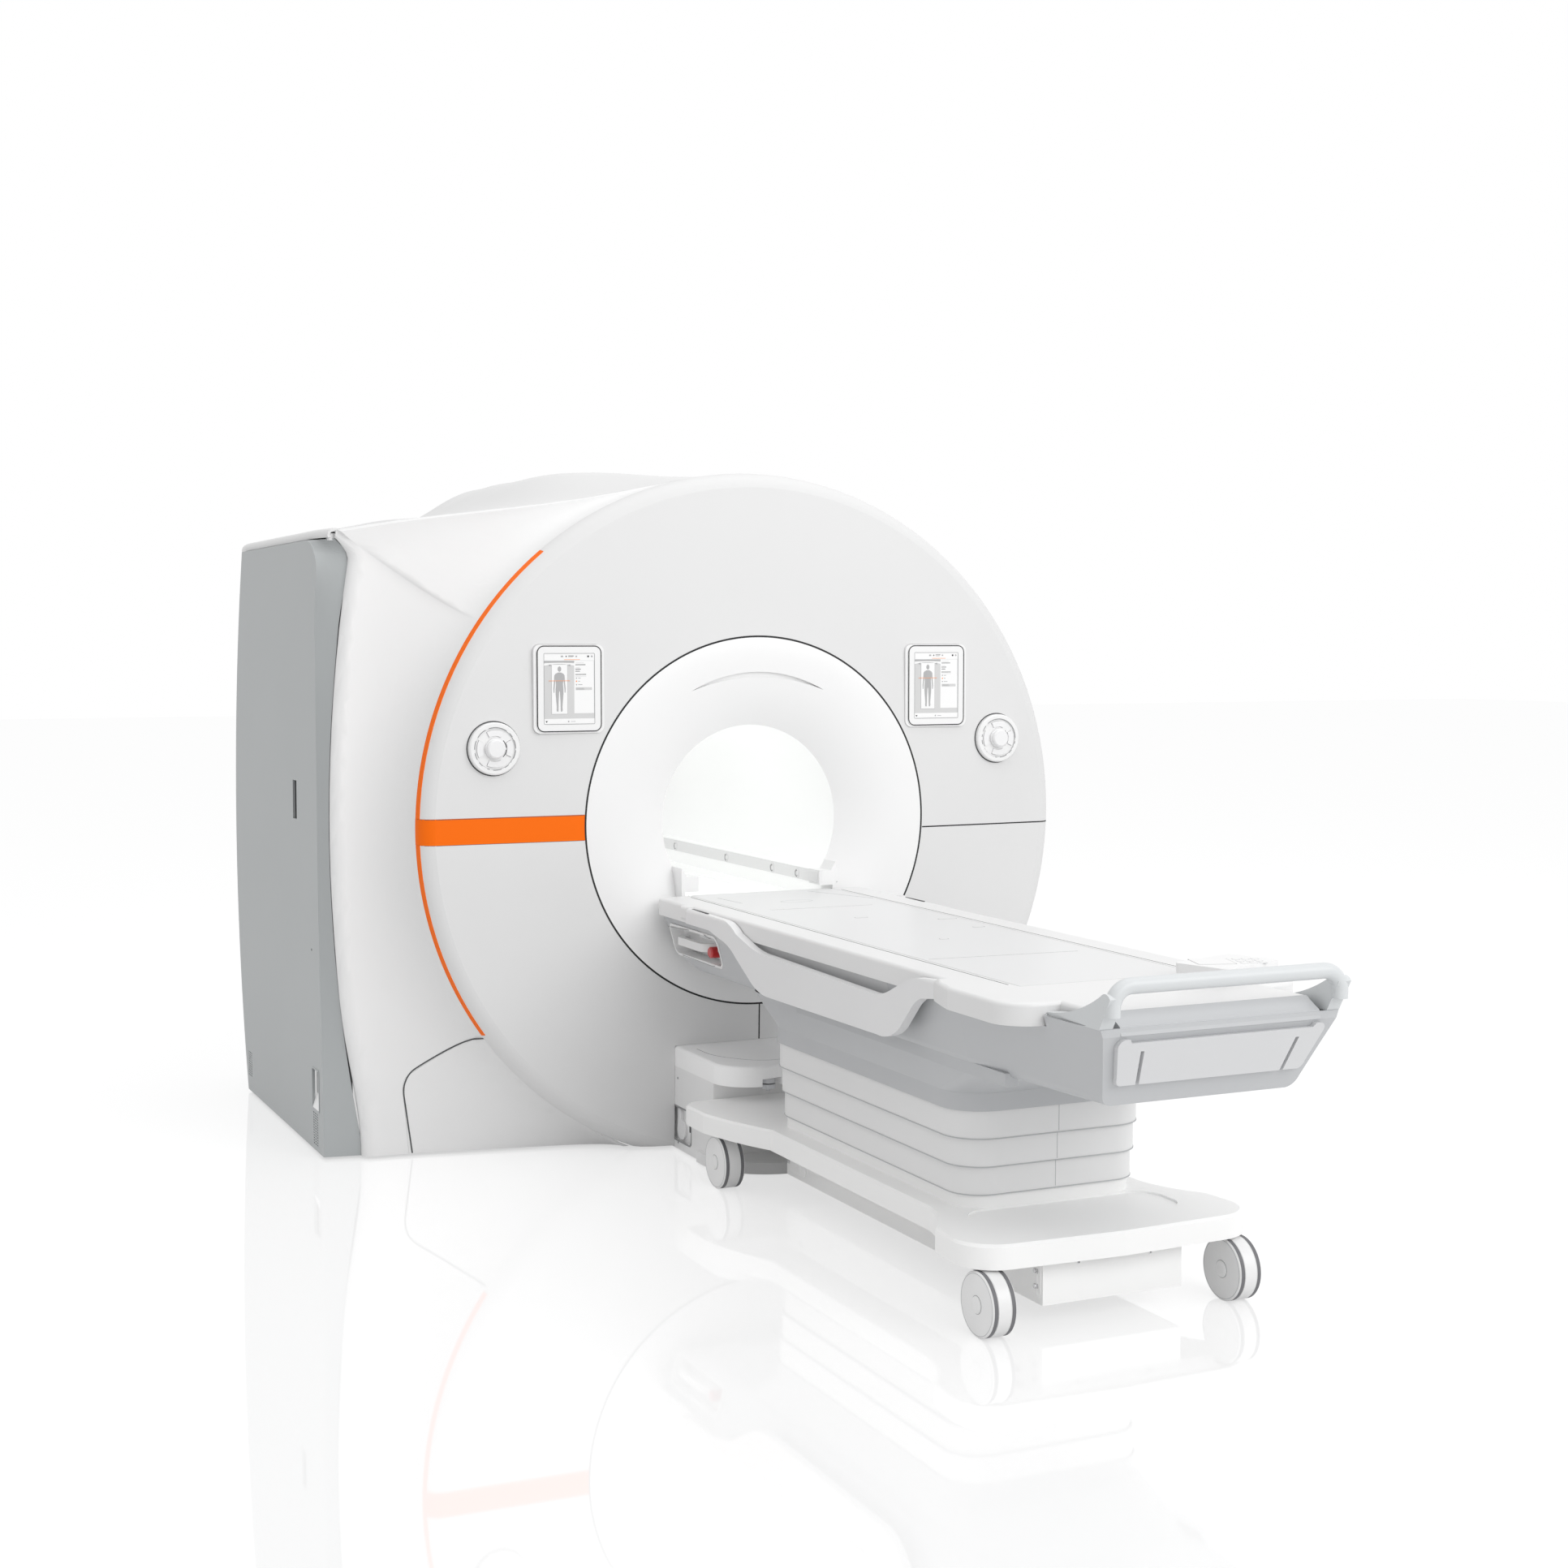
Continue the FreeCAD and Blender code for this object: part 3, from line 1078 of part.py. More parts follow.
def chassis_frame():
    head, foot = reach("box_head"), reach("box_foot")
    beam_z0, beam_z1 = "slab_low_z", "slab_top_z - slab_wall - dish_sink"
    shell = block("0 - box_half", "box_half", foot, head, "box_low_z", beam_z0)
    hollow = block("0 - box_half + box_wall", "box_half - box_wall", foot + " + box_wall",
                   head + " - box_wall", "box_low_z + box_wall", beam_z0 + " - box_wall")
    spine = block("0 - 120", "120", reach("caster_foot - 40"), reach("caster_head - 40"), beam_z0, beam_z1)
    stem_y = {"head": reach("caster_head - caster_trail"), "foot": reach("caster_foot - caster_trail")}
    beams, holes = [], []
    for end in ("head", "foot"):
        y = stem_y[end]
        beam = block("0 - beam_half", "beam_half", "%s - beam_width / 2" % y,
                     "%s + beam_width / 2" % y, beam_z0, beam_z1)
        room = prism("z", both_sides(slab_half_outline("slab_wall + fit_gap")), beam_z0, beam_z1)
        beams.append(overlap(beam, room))
        for x in ("caster_x", "0 - caster_x"):
            holes.append(rod("z", "stem_dia + 2 * pin_gap", x, y, "slab_low_z - 1", "60"))
    plates = []
    for x0, x1 in (("box_half", "box_half + 5"), ("0 - box_half - 5", "0 - box_half")):
        for place in ("box_head + 22", "box_foot - 88"):
            plates.append(block(x0, x1, reach(place + " + 70"), reach(place), "box_low_z + 24", beam_z0))
    my0 = reach("mast_reach + mast_half_y")
    my1 = reach("mast_reach - mast_half_y")
    mast = block("0 - mast_half_x", "mast_half_x", my0, my1, "box_low_z + box_wall", "mast_top_z")
    bore = block("mast_wall - mast_half_x", "mast_half_x - mast_wall", my0 + " + mast_wall",
                 my1 + " - mast_wall", "box_low_z + box_wall - 1", "mast_top_z + 1")
    box = fuse(cut(shell, hollow, mast), *plates)
    frame = cut(fuse(spine, mast, *beams), bore, *holes)
    node("chassis_frame", group(box, frame))


def casters():
    number_of = 0
    for far, end in (("caster_head", "head"), ("caster_foot", "foot")):
        for x in ("0 - caster_x", "caster_x"):
            number_of += 1
            y = reach(far)
            stem_y = reach("%s - caster_trail" % far)
            middle = "wheel_dia / 2"
            gap = "(2 * pin_gap + 0.4)"
            core = "caster_half - wheel_width - %s" % gap
            round_by, bore = "wheel_dia / 2 - 3.5", "axle_dia / 2 + pin_gap"
            housing = lathe("x", [("0 - (%s)" % core, bore), ("0 - (%s)" % core, round_by),
                                  (core, round_by), (core, bore)], x, y, middle)
            stem = rod("z", "stem_dia", x, stem_y, middle,
                       "slab_top_z - slab_wall - dish_sink - %s - 1" % middle)
            collar = rod("z", "stem_dia + 10", x, stem_y, middle, "slab_low_z - 0.5 - %s" % middle)
            clear = cut(rod("x", "wheel_dia + 1", "%s - caster_half - 1" % x, y, middle,
                            "2 * caster_half + 2"),
                        rod("x", "wheel_dia + 2", "%s - (%s)" % (x, core), y, middle, "2 * (%s)" % core))
            node("caster_fork_%d" % number_of, cut(fuse(housing, stem, collar), clear))
            tread, dish = "wheel_dia / 2", "wheel_width"
            half = "caster_half"
            wheel = lathe("x", [
                ("0 - %s" % half, "0"), ("0 - %s" % half, tread + " - 3"),
                ("3 - %s" % half, tread), ("%s - 2 - %s" % (dish, half), tread),
                ("%s - %s" % (dish, half), tread + " - 2"), ("%s - %s" % (dish, half), "axle_dia / 2"),
                ("%s - %s" % (half, dish), "axle_dia / 2"), ("%s - %s" % (half, dish), tread + " - 2"),
                ("%s + 2 - %s" % (half, dish), tread), (half + " - 3", tread),
                (half, tread + " - 3"), (half, "0"),
            ], x, y, middle)
            node("caster_wheel_%d" % number_of, wheel)


def tiers():
    for level in (1, 2, 3):
        low = "tier_low_z - tier_rise * %d" % (level - 1)
        high = low + " + tier_rise + tier_lap"
        node("tier_%d" % level, sleeve(str(level), low, high, True))


def lift_mast():
    x = "mast_half_x - mast_wall - run_gap"
    y0 = reach("mast_reach + mast_half_y - mast_wall - run_gap")
    y1 = reach("mast_reach - mast_half_y + mast_wall + run_gap")
    ram = block("0 - (%s)" % x, x, y0, y1, "ram_low_z", "hull_low_z")
    room = block("10 - (%s)" % x, "%s - 10" % x, y0 + " + 10", y1 + " - 10", "ram_low_z - 1",
                 "hull_low_z - 10")
    node("lift_mast", cut(ram, room))


# ---------------------------------------------------------------- hull


def hull_section(half, low_half, low, high, i):
    """One cross-section of the hull: leaning sides and round bilges."""
    r, i = "hull_round", "(%s)" % i
    return both_sides([
        ("0", "%s + %s" % (low, i)), ("%s - %s - %s" % (low_half, r, i), "%s + %s" % (low, i)),
        ("%s - %s + 4" % (low_half, i), "%s + %s + %s" % (low, r, i),
         "%s - %s - 0.27 * %s" % (low_half, i, r), "%s + %s + 0.3 * %s" % (low, i, r)),
        ("%s - %s" % (half, i), high), ("0", high),
    ])


def hull_loft(i, high):
    places = (
        (reach("hull_head - 10"), "hull_half", "hull_low_half"),
        (reach("hull_taper"), "hull_half", "hull_low_half"),
        (reach("hull_foot + 20"), "hull_foot_half", "hull_foot_low_half"),
    )
    return loft("y", [(y, hull_section(a, b, "hull_low_z", high, i)) for y, a, b in places], True)


def hull_side_view(i, high):
    """The hull's outline seen along X, drawn in by i."""
    i = "(%s)" % i
    return prism("x", [
        (reach("hull_head + %s" % i), high), (reach("hull_head + %s" % i), "hull_top_z - 10"),
        (reach("hull_head_low + %s" % i), "hull_low_z + 24"),
        (reach("hull_head_low + 190 + %s" % i), "hull_low_z - 40 + %s" % i,
         reach("hull_head_low + 80 + %s" % i), "hull_low_z + 6 + %s" % i),
        (reach("hull_foot_low - %s" % i), "hull_low_z - 40"),
        (reach("hull_foot_low - %s" % i), "hull_low_z - 9 + %s" % i),
        (reach("hull_foot - %s" % i), "end_panel_high_z"), (reach("hull_foot - %s" % i), high),
    ], "0 - 500", "500")


def hull_solid(i, high):
    return overlap(hull_loft(i, high), hull_side_view(i, high))


def bell(i):
    """The grey skirt below the hull, flared from the top sleeve's size."""
    def ring(grow, head, foot, round_by):
        return rounded("0 - tier_half - (%s)" % grow, "tier_half + %s" % grow, reach(foot), reach(head),
                       round_by)

    out = "shroud_wall + tier_step - tier_wall - %s" % i
    return loft("z", [
        ("shroud_z", ring(out, "tier_head - (%s)" % out, "tier_foot + %s" % out, "tier_corner + " + out)),
        ("shroud_z + shroud_straight",
         ring(out, "tier_head - (%s)" % out, "tier_foot + %s" % out, "tier_corner + " + out)),
        ("hull_low_z + 1",
         ring("26 - %s" % i, "shroud_head + %s" % i, "shroud_foot - %s" % i, "tier_corner + 30 - %s" % i)),
    ], True)


def hull():
    top = "hull_top_z"
    tall = "leg_seat_z"
    outer = hull_solid("0", tall)
    lower = block("0 - 500", "500", reach("leg_seat_head"), reach("0 - 50"), top, tall + " + 5")
    middle = block("0 - foot_half - 1", "foot_half + 1", reach("table_foot + 1"), reach("0 - 50"), top,
                   tall + " + 5")
    inner = hull_solid("hull_wall", tall + " + 20")
    ledge_part = prism("x", [
        (reach("table_foot + 2"), "hull_top_z - 20"), (reach("table_foot + 2"), "table_z + 2"),
        (reach("table_foot + 50"), "table_z - 24"), (reach("hull_foot + 2"), "end_panel_high_z + fit_gap"),
        (reach("hull_foot - 20"), "end_panel_high_z + fit_gap"),
    ], "0 - ledge_half", "ledge_half")
    skirt = cut(bell("0"), bell("shroud_wall"))
    window = prism("x", rounded(reach("pocket_foot"), reach("pocket_head"), "pocket_low_z",
                                "pocket_high_z", "26"), "0 - 500", "500")
    shell = cut(outer, inner, lower, middle, window)
    node("hull", fuse(shell, ledge_part, skirt))


def trays():
    """White pans let into the hull's sides, each with a pull handle across it."""
    mouth = prism("x", rounded(reach("pocket_foot - 0.6"), reach("pocket_head + 0.6"),
                               "pocket_low_z + 0.6", "pocket_high_z - 0.6", "25"), "100", "500")
    hollow = prism("x", rounded(reach("pocket_foot - pocket_rim"), reach("pocket_head + pocket_rim"),
                                "pocket_low_z + pocket_rim", "pocket_high_z - pocket_rim", "20"),
                   "100", "500")
    skin_all = hull_loft("0", "hull_top_z")
    deep = hull_loft("pocket_deep", "hull_top_z")
    deeper = hull_loft("pocket_deep + tray_wall", "hull_top_z")
    pan = cut(overlap(cut(skin_all, deeper), mouth), overlap(cut(skin_all, deep), hollow))
    lean = "(hull_half - hull_low_half) / (hull_top_z - hull_low_z)"
    x_out = "hull_low_half + (pocket_low_z + 50 - hull_low_z) * %s" % lean
    root = x_out + " - pocket_deep - 10"
    grip = prism("z", [
        (root, reach("grip_head")),
        (x_out + " + grip_proud", reach("grip_head + 46"), x_out + " - 8", reach("grip_head + 12")),
        (x_out + " + grip_proud", reach("grip_foot - 46")),
        (root, reach("grip_foot"), x_out + " - 8", reach("grip_foot - 12")),
        (root, reach("grip_foot - grip_thick")),
        (x_out + " + grip_proud - grip_thick", reach("grip_foot - 56"), x_out + " - 8 - grip_thick",
         reach("grip_foot - grip_thick - 12")),
        (x_out + " + grip_proud - grip_thick", reach("grip_head + 56")),
        (root, reach("grip_head + grip_thick"), x_out + " - 8 - grip_thick",
         reach("grip_head + grip_thick + 12")),
    ], "pocket_low_z + 50 - grip_height / 2", "pocket_low_z + 50 + grip_height / 2")
    nest = rod("x", "stop_stem_dia + 2 * pin_gap", "200", reach("stop_reach"), "stop_z", "300")
    whole = cut(fuse(pan, grip), nest)
    node("pull_handles", group(whole, mirrored(whole)))
    face = "hull_low_half + (stop_z - hull_low_z) * %s - pocket_deep - 9" % lean
    end = "pocket_deep + 9 + stop_proud"
    button = lathe("x", [
        ("0 - 20", "0"), ("0 - 20", "stop_stem_dia / 2"), ("stop_travel + 7", "stop_stem_dia / 2"),
        ("stop_travel + 7", "stop_dia / 2"), (end + " - 4", "stop_dia / 2"),
        (end, "stop_dia / 2 - 4"), (end, "0"),
    ], face, reach("stop_reach"), "stop_z")
    node("stop_button_right", button)
    node("stop_button_left", mirrored(button))


# ---------------------------------------------------------------- table top


def top_outline(i):
    """Right half of the table top seen from above, drawn in by i."""
    return [
        ("0", reach("table_head + %s" % i)), ("table_half - 20 - %s" % i, reach("table_head + %s" % i)),
        ("table_half - %s" % i, reach("table_head + 20 + %s" % i), "table_half - 6 - %s" % i,
         reach("table_head + 6 + %s" % i)),
        ("table_half - %s" % i, reach("bay_head")), ("rail_bay_half - %s" % i, reach("bay_head")),
        ("rail_bay_half - %s" % i, reach("bay_foot")),
        ("guard_x + guard_thick / 2 - %s" % i, reach("bay_foot")),
        ("wing_half - %s" % i, reach("wing_head + 40"), "wing_half - 15 - %s" % i, reach("wing_head - 20")),
        ("wing_half - %s" % i, reach("wing_foot")),
        ("wing_half - 96", reach("wing_end - %s" % i), "wing_half - 24 - %s" % i,
         reach("wing_end - 26 - %s" % i)),
        ("foot_half - %s" % i, reach("wing_end + 2 - %s" % i)),
        ("foot_half - %s" % i, reach("table_foot - %s" % i)), ("0", reach("table_foot - %s" % i)),
    ]


def table_top():
    plate = prism("z", both_sides(top_outline("0")), "hull_top_z + 0.2", "table_z")
    plate = softened(plate, "margin_round", lambda e: abs(e.CenterOfMass.z - number("table_z")) < 0.01)
    floor_z = "table_z - board_thick - glide_gap"
    room = block("0 - board_half - board_side_gap", "board_half + board_side_gap",
                 reach("board_foot + 2"), reach("0 - 60"), floor_z, "table_z + 5")
    hinge = block("table_half - 10", "guard_x + guard_thick / 2", reach("bay_head"), reach("bay_head - 46"),
                  "guard_end_low_z + 8", "table_z")
    hinge = softened(hinge, "8", lambda e: e.CenterOfMass.x > number("guard_x + guard_thick / 2") - 0.1)
    pins = []
    for y0 in (reach("bay_head - hinge_pin_length - 1"), reach("bay_foot + hinge_pin_length + 1")):
        pins.append(rod("y", "hinge_pin_dia + 2 * pin_gap", "guard_x",
                        y0 if "foot" in y0 else reach("bay_head + 1"), "guard_axis_z",
                        "hinge_pin_length + 2"))
    both = [hinge, mirrored(hinge)]
    holes = [p for one in pins for p in (one, mirrored(one))]
    node("tabletop_frame", cut(fuse(plate, *both), room, *holes))


def board():
    plate = block("0 - board_half", "board_half", reach("board_foot"), reach("board_head"),
                  "table_z - board_thick", "table_z")
    node("board", softened(plate, "24", lambda e: abs(e.BoundBox.ZLength - number("board_thick")) < 0.01 and
                           e.CenterOfMass.y > number(reach("board_head + 5"))))


def guard_rails():
    """S-shaped side guards that swing up about pins at both ends."""
    top = "guard_axis_z + guard_thick / 2"
    low, sag, end_low = "guard_low_z", "guard_sag_z", "guard_end_low_z"
    head, foot = "bay_head + 0.5", "bay_foot - 0.5"
    h, f = "guard_head_bend", "guard_foot_bend"
    outline = [
        (reach(head), end_low), (reach(head), top), (reach(h), top + " - 4"),
        (reach(h + " + 94"), top + " - 32", reach(h + " + 56"), top + " - 14"),
        (reach(h + " + 180"), sag + " + 19"),
        (reach(h + " + 300"), sag + " + 6", reach(h + " + 236"), sag + " + 9"),
        (reach(f), sag + " - 5"),
        (reach(f + " + 112"), sag + " + 23", reach(f + " + 62"), sag + " + 4"),
        (reach(f + " + 179"), top + " - 22"),
        (reach(f + " + 250"), top + " - 6", reach(f + " + 212"), top + " - 11"),
        (reach(foot), top), (reach(foot), end_low),
        (reach(f + " + 256"), end_low + " - 8"),
        (reach(f + " + 200"), end_low + " - 44", reach(f + " + 226"), end_low + " - 22"),
        (reach(f + " + 146"), low + " + 38"),
        (reach(f + " + 30"), low + " + 4", reach(f + " + 98"), low + " + 12"),
        (reach(h + " + 320"), low),
        (reach(h + " + 200"), low + " + 24", reach(h + " + 252"), low + " + 6"),
        (reach(h + " + 94"), low + " + 80"),
        (reach(h + " - 16"), end_low + " - 16", reach(h + " + 40"), low + " + 106"),
        (reach(h + " - 100"), end_low),
    ]
    x0, x1 = "guard_x - guard_thick / 2", "guard_x + guard_thick / 2"
    plate = prism("x", outline, x0, x1)
    round_end = rod("y", "guard_thick", "guard_x", reach(foot), "guard_axis_z", "(%s) - (%s)" % (foot, head))
    crown = cut(block("%s - 1" % x0, "%s + 1" % x1, reach(foot), reach(head), "guard_axis_z", top + " + 1"),
                round_end)
    pins = [
        rod("y", "hinge_pin_dia", "guard_x", reach(foot) + " - hinge_pin_length", "guard_axis_z",
            "hinge_pin_length + 2"),
        rod("y", "hinge_pin_dia", "guard_x", reach(head) + " - 2", "guard_axis_z", "hinge_pin_length + 2"),
    ]
    rail = fuse(cut(plate, crown), *pins)
    node("side_rail_right", rail)
    node("side_rail_left", mirrored(rail))


def handlebar():
    """Tube with two fin-like legs that run down into the hull's corners."""
    y = number(reach("hull_foot + tube_over"))
    half, up, bend = number("tube_half"), number("tube_z"), number("tube_bend")
    low = number("leg_seat_z + 30")
    k = bend * (1 - math.sqrt(0.5))
    start, turn_1, over_1 = V(-half, y, low), V(-half, y, up - bend), V(-half + bend, y, up)
    over_2, turn_2, end = V(half - bend, y, up), V(half, y, up - bend), V(half, y, low)
    path = Part.Wire([
        Part.LineSegment(start, turn_1).toShape(),
        Part.Arc(turn_1, V(-half + k, y, up - k), over_1).toShape(),
        Part.LineSegment(over_1, over_2).toShape(),
        Part.Arc(over_2, V(half - k, y, up - k), turn_2).toShape(),
        Part.LineSegment(turn_2, end).toShape(),
    ])
    ring = Part.Wire([Part.Circle(start, V(0, 0, 1), number("tube_dia / 2")).toShape()])
    tube = feature("Tube", path.makePipeShell([ring], True, True))
    x0, x1 = "tube_half - leg_width / 2", "tube_half + leg_width / 2"
    leg = prism("x", [
        (reach("hull_foot - 2"), "leg_seat_z"),
        (reach("hull_foot + tube_over + 17"), "tube_z - 24"),
        (reach("hull_foot + tube_over - 17"), "tube_z - 20", reach("hull_foot + tube_over"), "tube_z - 14"),
        (reach("leg_tip + 60"), "leg_seat_z + 8", reach("leg_tip + 190"), "leg_seat_z + 36"),
        (reach("wing_end + 3"), "leg_seat_z + 0.1"),
    ], x0, x1)
    node("handlebar", fuse(tube, leg, mirrored(leg)))


def end_panel():
    run = "(hull_foot - hull_foot_low) / (end_panel_high_z - hull_low_z + 9)"
    top, low, thick = "end_panel_high_z - 6", "end_panel_low_z", "end_panel_thick"
    high_y = "hull_foot - 6 * %s + 0.4" % run
    low_y = "hull_foot - (end_panel_high_z - end_panel_low_z) * %s + 0.4" % run
    slab = prism("x", [
        (reach(high_y), top), (reach("%s + %s" % (high_y, thick)), top),
        (reach("%s + %s" % (low_y, thick)), low), (reach(low_y), low),
    ], "0 - end_panel_half", "end_panel_half")
    front = prism("y", both_sides([
        ("0", low + " - 1"), ("end_panel_half - 44", low + " - 1"),
        ("end_panel_half - 22", low + " + 18", "end_panel_half - 28", low + " + 4"),
        ("end_panel_half", top + " - 18"),
        ("end_panel_half - 14", top, "end_panel_half - 4", top + " - 5"),
        ("end_panel_half - 26", top), ("end_panel_half - 32", top + " - 9"), ("0", top + " - 9"),
    ]), reach("hull_foot + 100"), reach("hull_foot_low - 100"))
    slots = []
    for s in ("", "0 - "):
        slots.append(prism("y", [
            ("%s(end_slot_half)" % s, top + " - 30"),
            ("%s(end_slot_half - end_slot_width)" % s, top + " - 30"),
            ("%s(end_slot_half - end_slot_width - 14)" % s, low + " - 5"),
            ("%s(end_slot_half - 14)" % s, low + " - 5"),
        ], reach("hull_foot + 100"), reach("hull_foot_low - 100")))
    node("end_panel", cut(overlap(slab, front), *slots))


def pad():
    plate = prism("z", rounded("0 - pad_length / 2", "pad_length / 2", "0 - pad_width / 2",
                               "pad_width / 2", "pad_corner"), "pad_lift", "pad_lift + pad_thick")
    foot = prism("z", rounded("0 - pad_length / 2 + 26", "pad_length / 2 - 26", "0 - pad_width / 2 + 26",
                              "pad_width / 2 - 26", "pad_corner"), "0", "pad_lift")
    whole = doc.addObject("Part::Compound", "Pad")
    whole.Links = [fuse(plate, foot)]
    put(whole, "pad_x", reach("pad_reach"), "table_z", FreeCAD.Rotation(V(0, 0, 1), number("pad_deg")))
    node("remote_pad", whole)


# ---------------------------------------------------------------- build, check and write

for make in (magnet, base, liner, socket_rail, front_ring, front_covers, displays, controls,
             service_panel, roof, side_housing, right_cover, rear_cover, dock, table_base,
             chassis_frame, casters, tiers, lift_mast, hull, trays, table_top, board, guard_rails,
             handlebar, end_panel, pad):
    make()
doc.recompute()
failed = [o.Name for o in doc.Objects if "Invalid" in o.State or "Error" in o.State]
if failed:
    raise RuntimeError("not built: %s" % failed)
os.makedirs("parts", exist_ok=True)
for name, thing in nodes.items():
    shape = thing.Shape
    if shape.isNull() or not shape.isValid() or not shape.Solids:
        raise RuntimeError("bad shape: " + name)
for name, thing in nodes.items():
    thing.Shape.exportStep("parts/%s.step" % name)
    print("%-26s %2d solids %10.1f cm3" % (name, len(thing.Shape.Solids), thing.Shape.Volume / 1000))
print(len(nodes), "pieces")
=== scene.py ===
import json
import math

import bmesh
import bpy
from mathutils import Matrix, Vector
from mathutils.bvhtree import BVHTree

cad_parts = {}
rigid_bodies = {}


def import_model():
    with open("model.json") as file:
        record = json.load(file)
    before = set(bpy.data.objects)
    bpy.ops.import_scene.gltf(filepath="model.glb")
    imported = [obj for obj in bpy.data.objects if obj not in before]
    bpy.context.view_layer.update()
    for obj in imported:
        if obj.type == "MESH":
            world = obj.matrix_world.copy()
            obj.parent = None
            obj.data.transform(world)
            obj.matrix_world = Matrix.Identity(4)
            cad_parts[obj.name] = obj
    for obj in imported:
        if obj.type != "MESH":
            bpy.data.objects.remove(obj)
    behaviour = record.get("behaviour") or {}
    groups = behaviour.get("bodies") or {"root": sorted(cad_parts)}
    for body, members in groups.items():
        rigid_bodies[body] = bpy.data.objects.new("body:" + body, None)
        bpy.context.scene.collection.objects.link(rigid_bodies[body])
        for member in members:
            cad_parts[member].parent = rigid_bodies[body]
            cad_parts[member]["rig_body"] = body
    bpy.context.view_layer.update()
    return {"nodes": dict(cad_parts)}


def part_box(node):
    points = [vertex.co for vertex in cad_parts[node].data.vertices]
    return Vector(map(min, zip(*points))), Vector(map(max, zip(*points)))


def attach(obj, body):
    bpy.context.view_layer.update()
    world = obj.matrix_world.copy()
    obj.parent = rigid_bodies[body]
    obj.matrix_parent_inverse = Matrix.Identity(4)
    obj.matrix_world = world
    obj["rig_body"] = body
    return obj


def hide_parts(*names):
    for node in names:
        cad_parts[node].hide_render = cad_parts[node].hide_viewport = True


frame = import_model()
nodes = frame["nodes"]

# The frame is in metres: X to the right seen from the table, Y into the bore, Z up from the floor.
# Sizes below are in millimetres. Along the bore, places are measured from the plane of the front
# ring's seam, as a "depth" into the magnet or as a "reach" towards the table's foot.
MM = 0.001
SEAM_Y = -900.0
BORE_Z = 1020.0
RING_RADIUS = 580.0
LEFT_RIGHT = (-1, 1)
SIDE_NAMES = ("left", "right")


def depth(distance):
    return SEAM_Y + distance


def reach(distance):
    return SEAM_Y - distance


# -------------------- camera, lamps and floor

CAMERA_PLACE = (-2.836, -7.1625, 1.5837)
CAMERA_TURN_DEG = -25.015
CAMERA_DOWN_DEG = 3.727
CAMERA_LENS = 50.21
CAMERA_FILM = 36.0
CAMERA_FAR = 100.0
WORLD_LIGHT = 0.68
FLOOR_HALF = 40.0
# The floor as the other pieces see it, then as the camera does: glow, shaded part, and mirror over both.
FLOOR_BOUNCE = 0.80
FLOOR_WHITE = 0.80
FLOOR_SHADED = 0.35
FLOOR_MIRROR = 0.24
FLOOR_ROUGH = 0.03
# Name, place, target, size in metres and power in watts.
LAMPS = (
    ("key", (2.8, -9.6, 5.2), (0.0, -1.2, 0.9), (8.0, 5.0), 330),
    ("top", (0.0, -2.0, 7.0), (0.0, -1.2, 0.5), (7.0, 7.0), 130),
)


def make_camera():
    data = bpy.data.cameras.new("camera")
    data.lens = CAMERA_LENS
    data.sensor_width = CAMERA_FILM
    data.clip_end = CAMERA_FAR
    camera = bpy.data.objects.new("camera", data)
    camera.location = CAMERA_PLACE
    camera.rotation_euler = (math.radians(90 - CAMERA_DOWN_DEG), 0, math.radians(CAMERA_TURN_DEG))
    bpy.context.scene.collection.objects.link(camera)
    bpy.context.scene.camera = camera


def make_lamp(name, place, target, size, power):
    data = bpy.data.lights.new(name, "AREA")
    data.shape = "RECTANGLE"
    data.size, data.size_y = size
    data.energy = power
    lamp = bpy.data.objects.new(name, data)
    lamp.location = place
    aim = Vector(target) - Vector(place)
    lamp.rotation_euler = aim.to_track_quat("-Z", "Y").to_euler()
    bpy.context.scene.collection.objects.link(lamp)


def grey(value):
    return (value, value, value, 1)


def shader_node(tree, kind, **settings):
    """A node of a material or world, with values for its inputs and sockets linked to them."""
    made = tree.nodes.new("ShaderNode" + kind)
    for name, value in settings.items():
        socket = made.inputs[int(name[1:]) if name[0] == "_" else name.replace("_", " ")]
        if isinstance(value, bpy.types.NodeSocket):
            tree.links.new(value, socket)
        else:
            socket.default_value = value
    return made


def seen_directly(tree):
    """1 for camera, glossy and transmission rays, so mirrors and glass show the background too."""
    path = shader_node(tree, "LightPath")
    total = path.outputs["Is Camera Ray"]
    for kind in ("Is Glossy Ray", "Is Transmission Ray"):
        most = shader_node(tree, "Math", _0=total, _1=path.outputs[kind])
        most.operation = "MAXIMUM"
        total = most.outputs[0]
    return total


def make_world():
    """Even studio light, with a plain white background for the camera and for reflections."""
    world = bpy.data.worlds.new("studio")
    bpy.context.scene.world = world
    world.use_nodes = True
    tree = world.node_tree
    tree.nodes.clear()
    lit = shader_node(tree, "Background", Color=grey(1.0), Strength=WORLD_LIGHT)
    white = shader_node(tree, "Background", Color=grey(1.0))
    mix = shader_node(tree, "MixShader", Fac=seen_directly(tree), _1=lit.outputs[0], _2=white.outputs[0])
    shader_node(tree, "OutputWorld", Surface=mix.outputs[0])


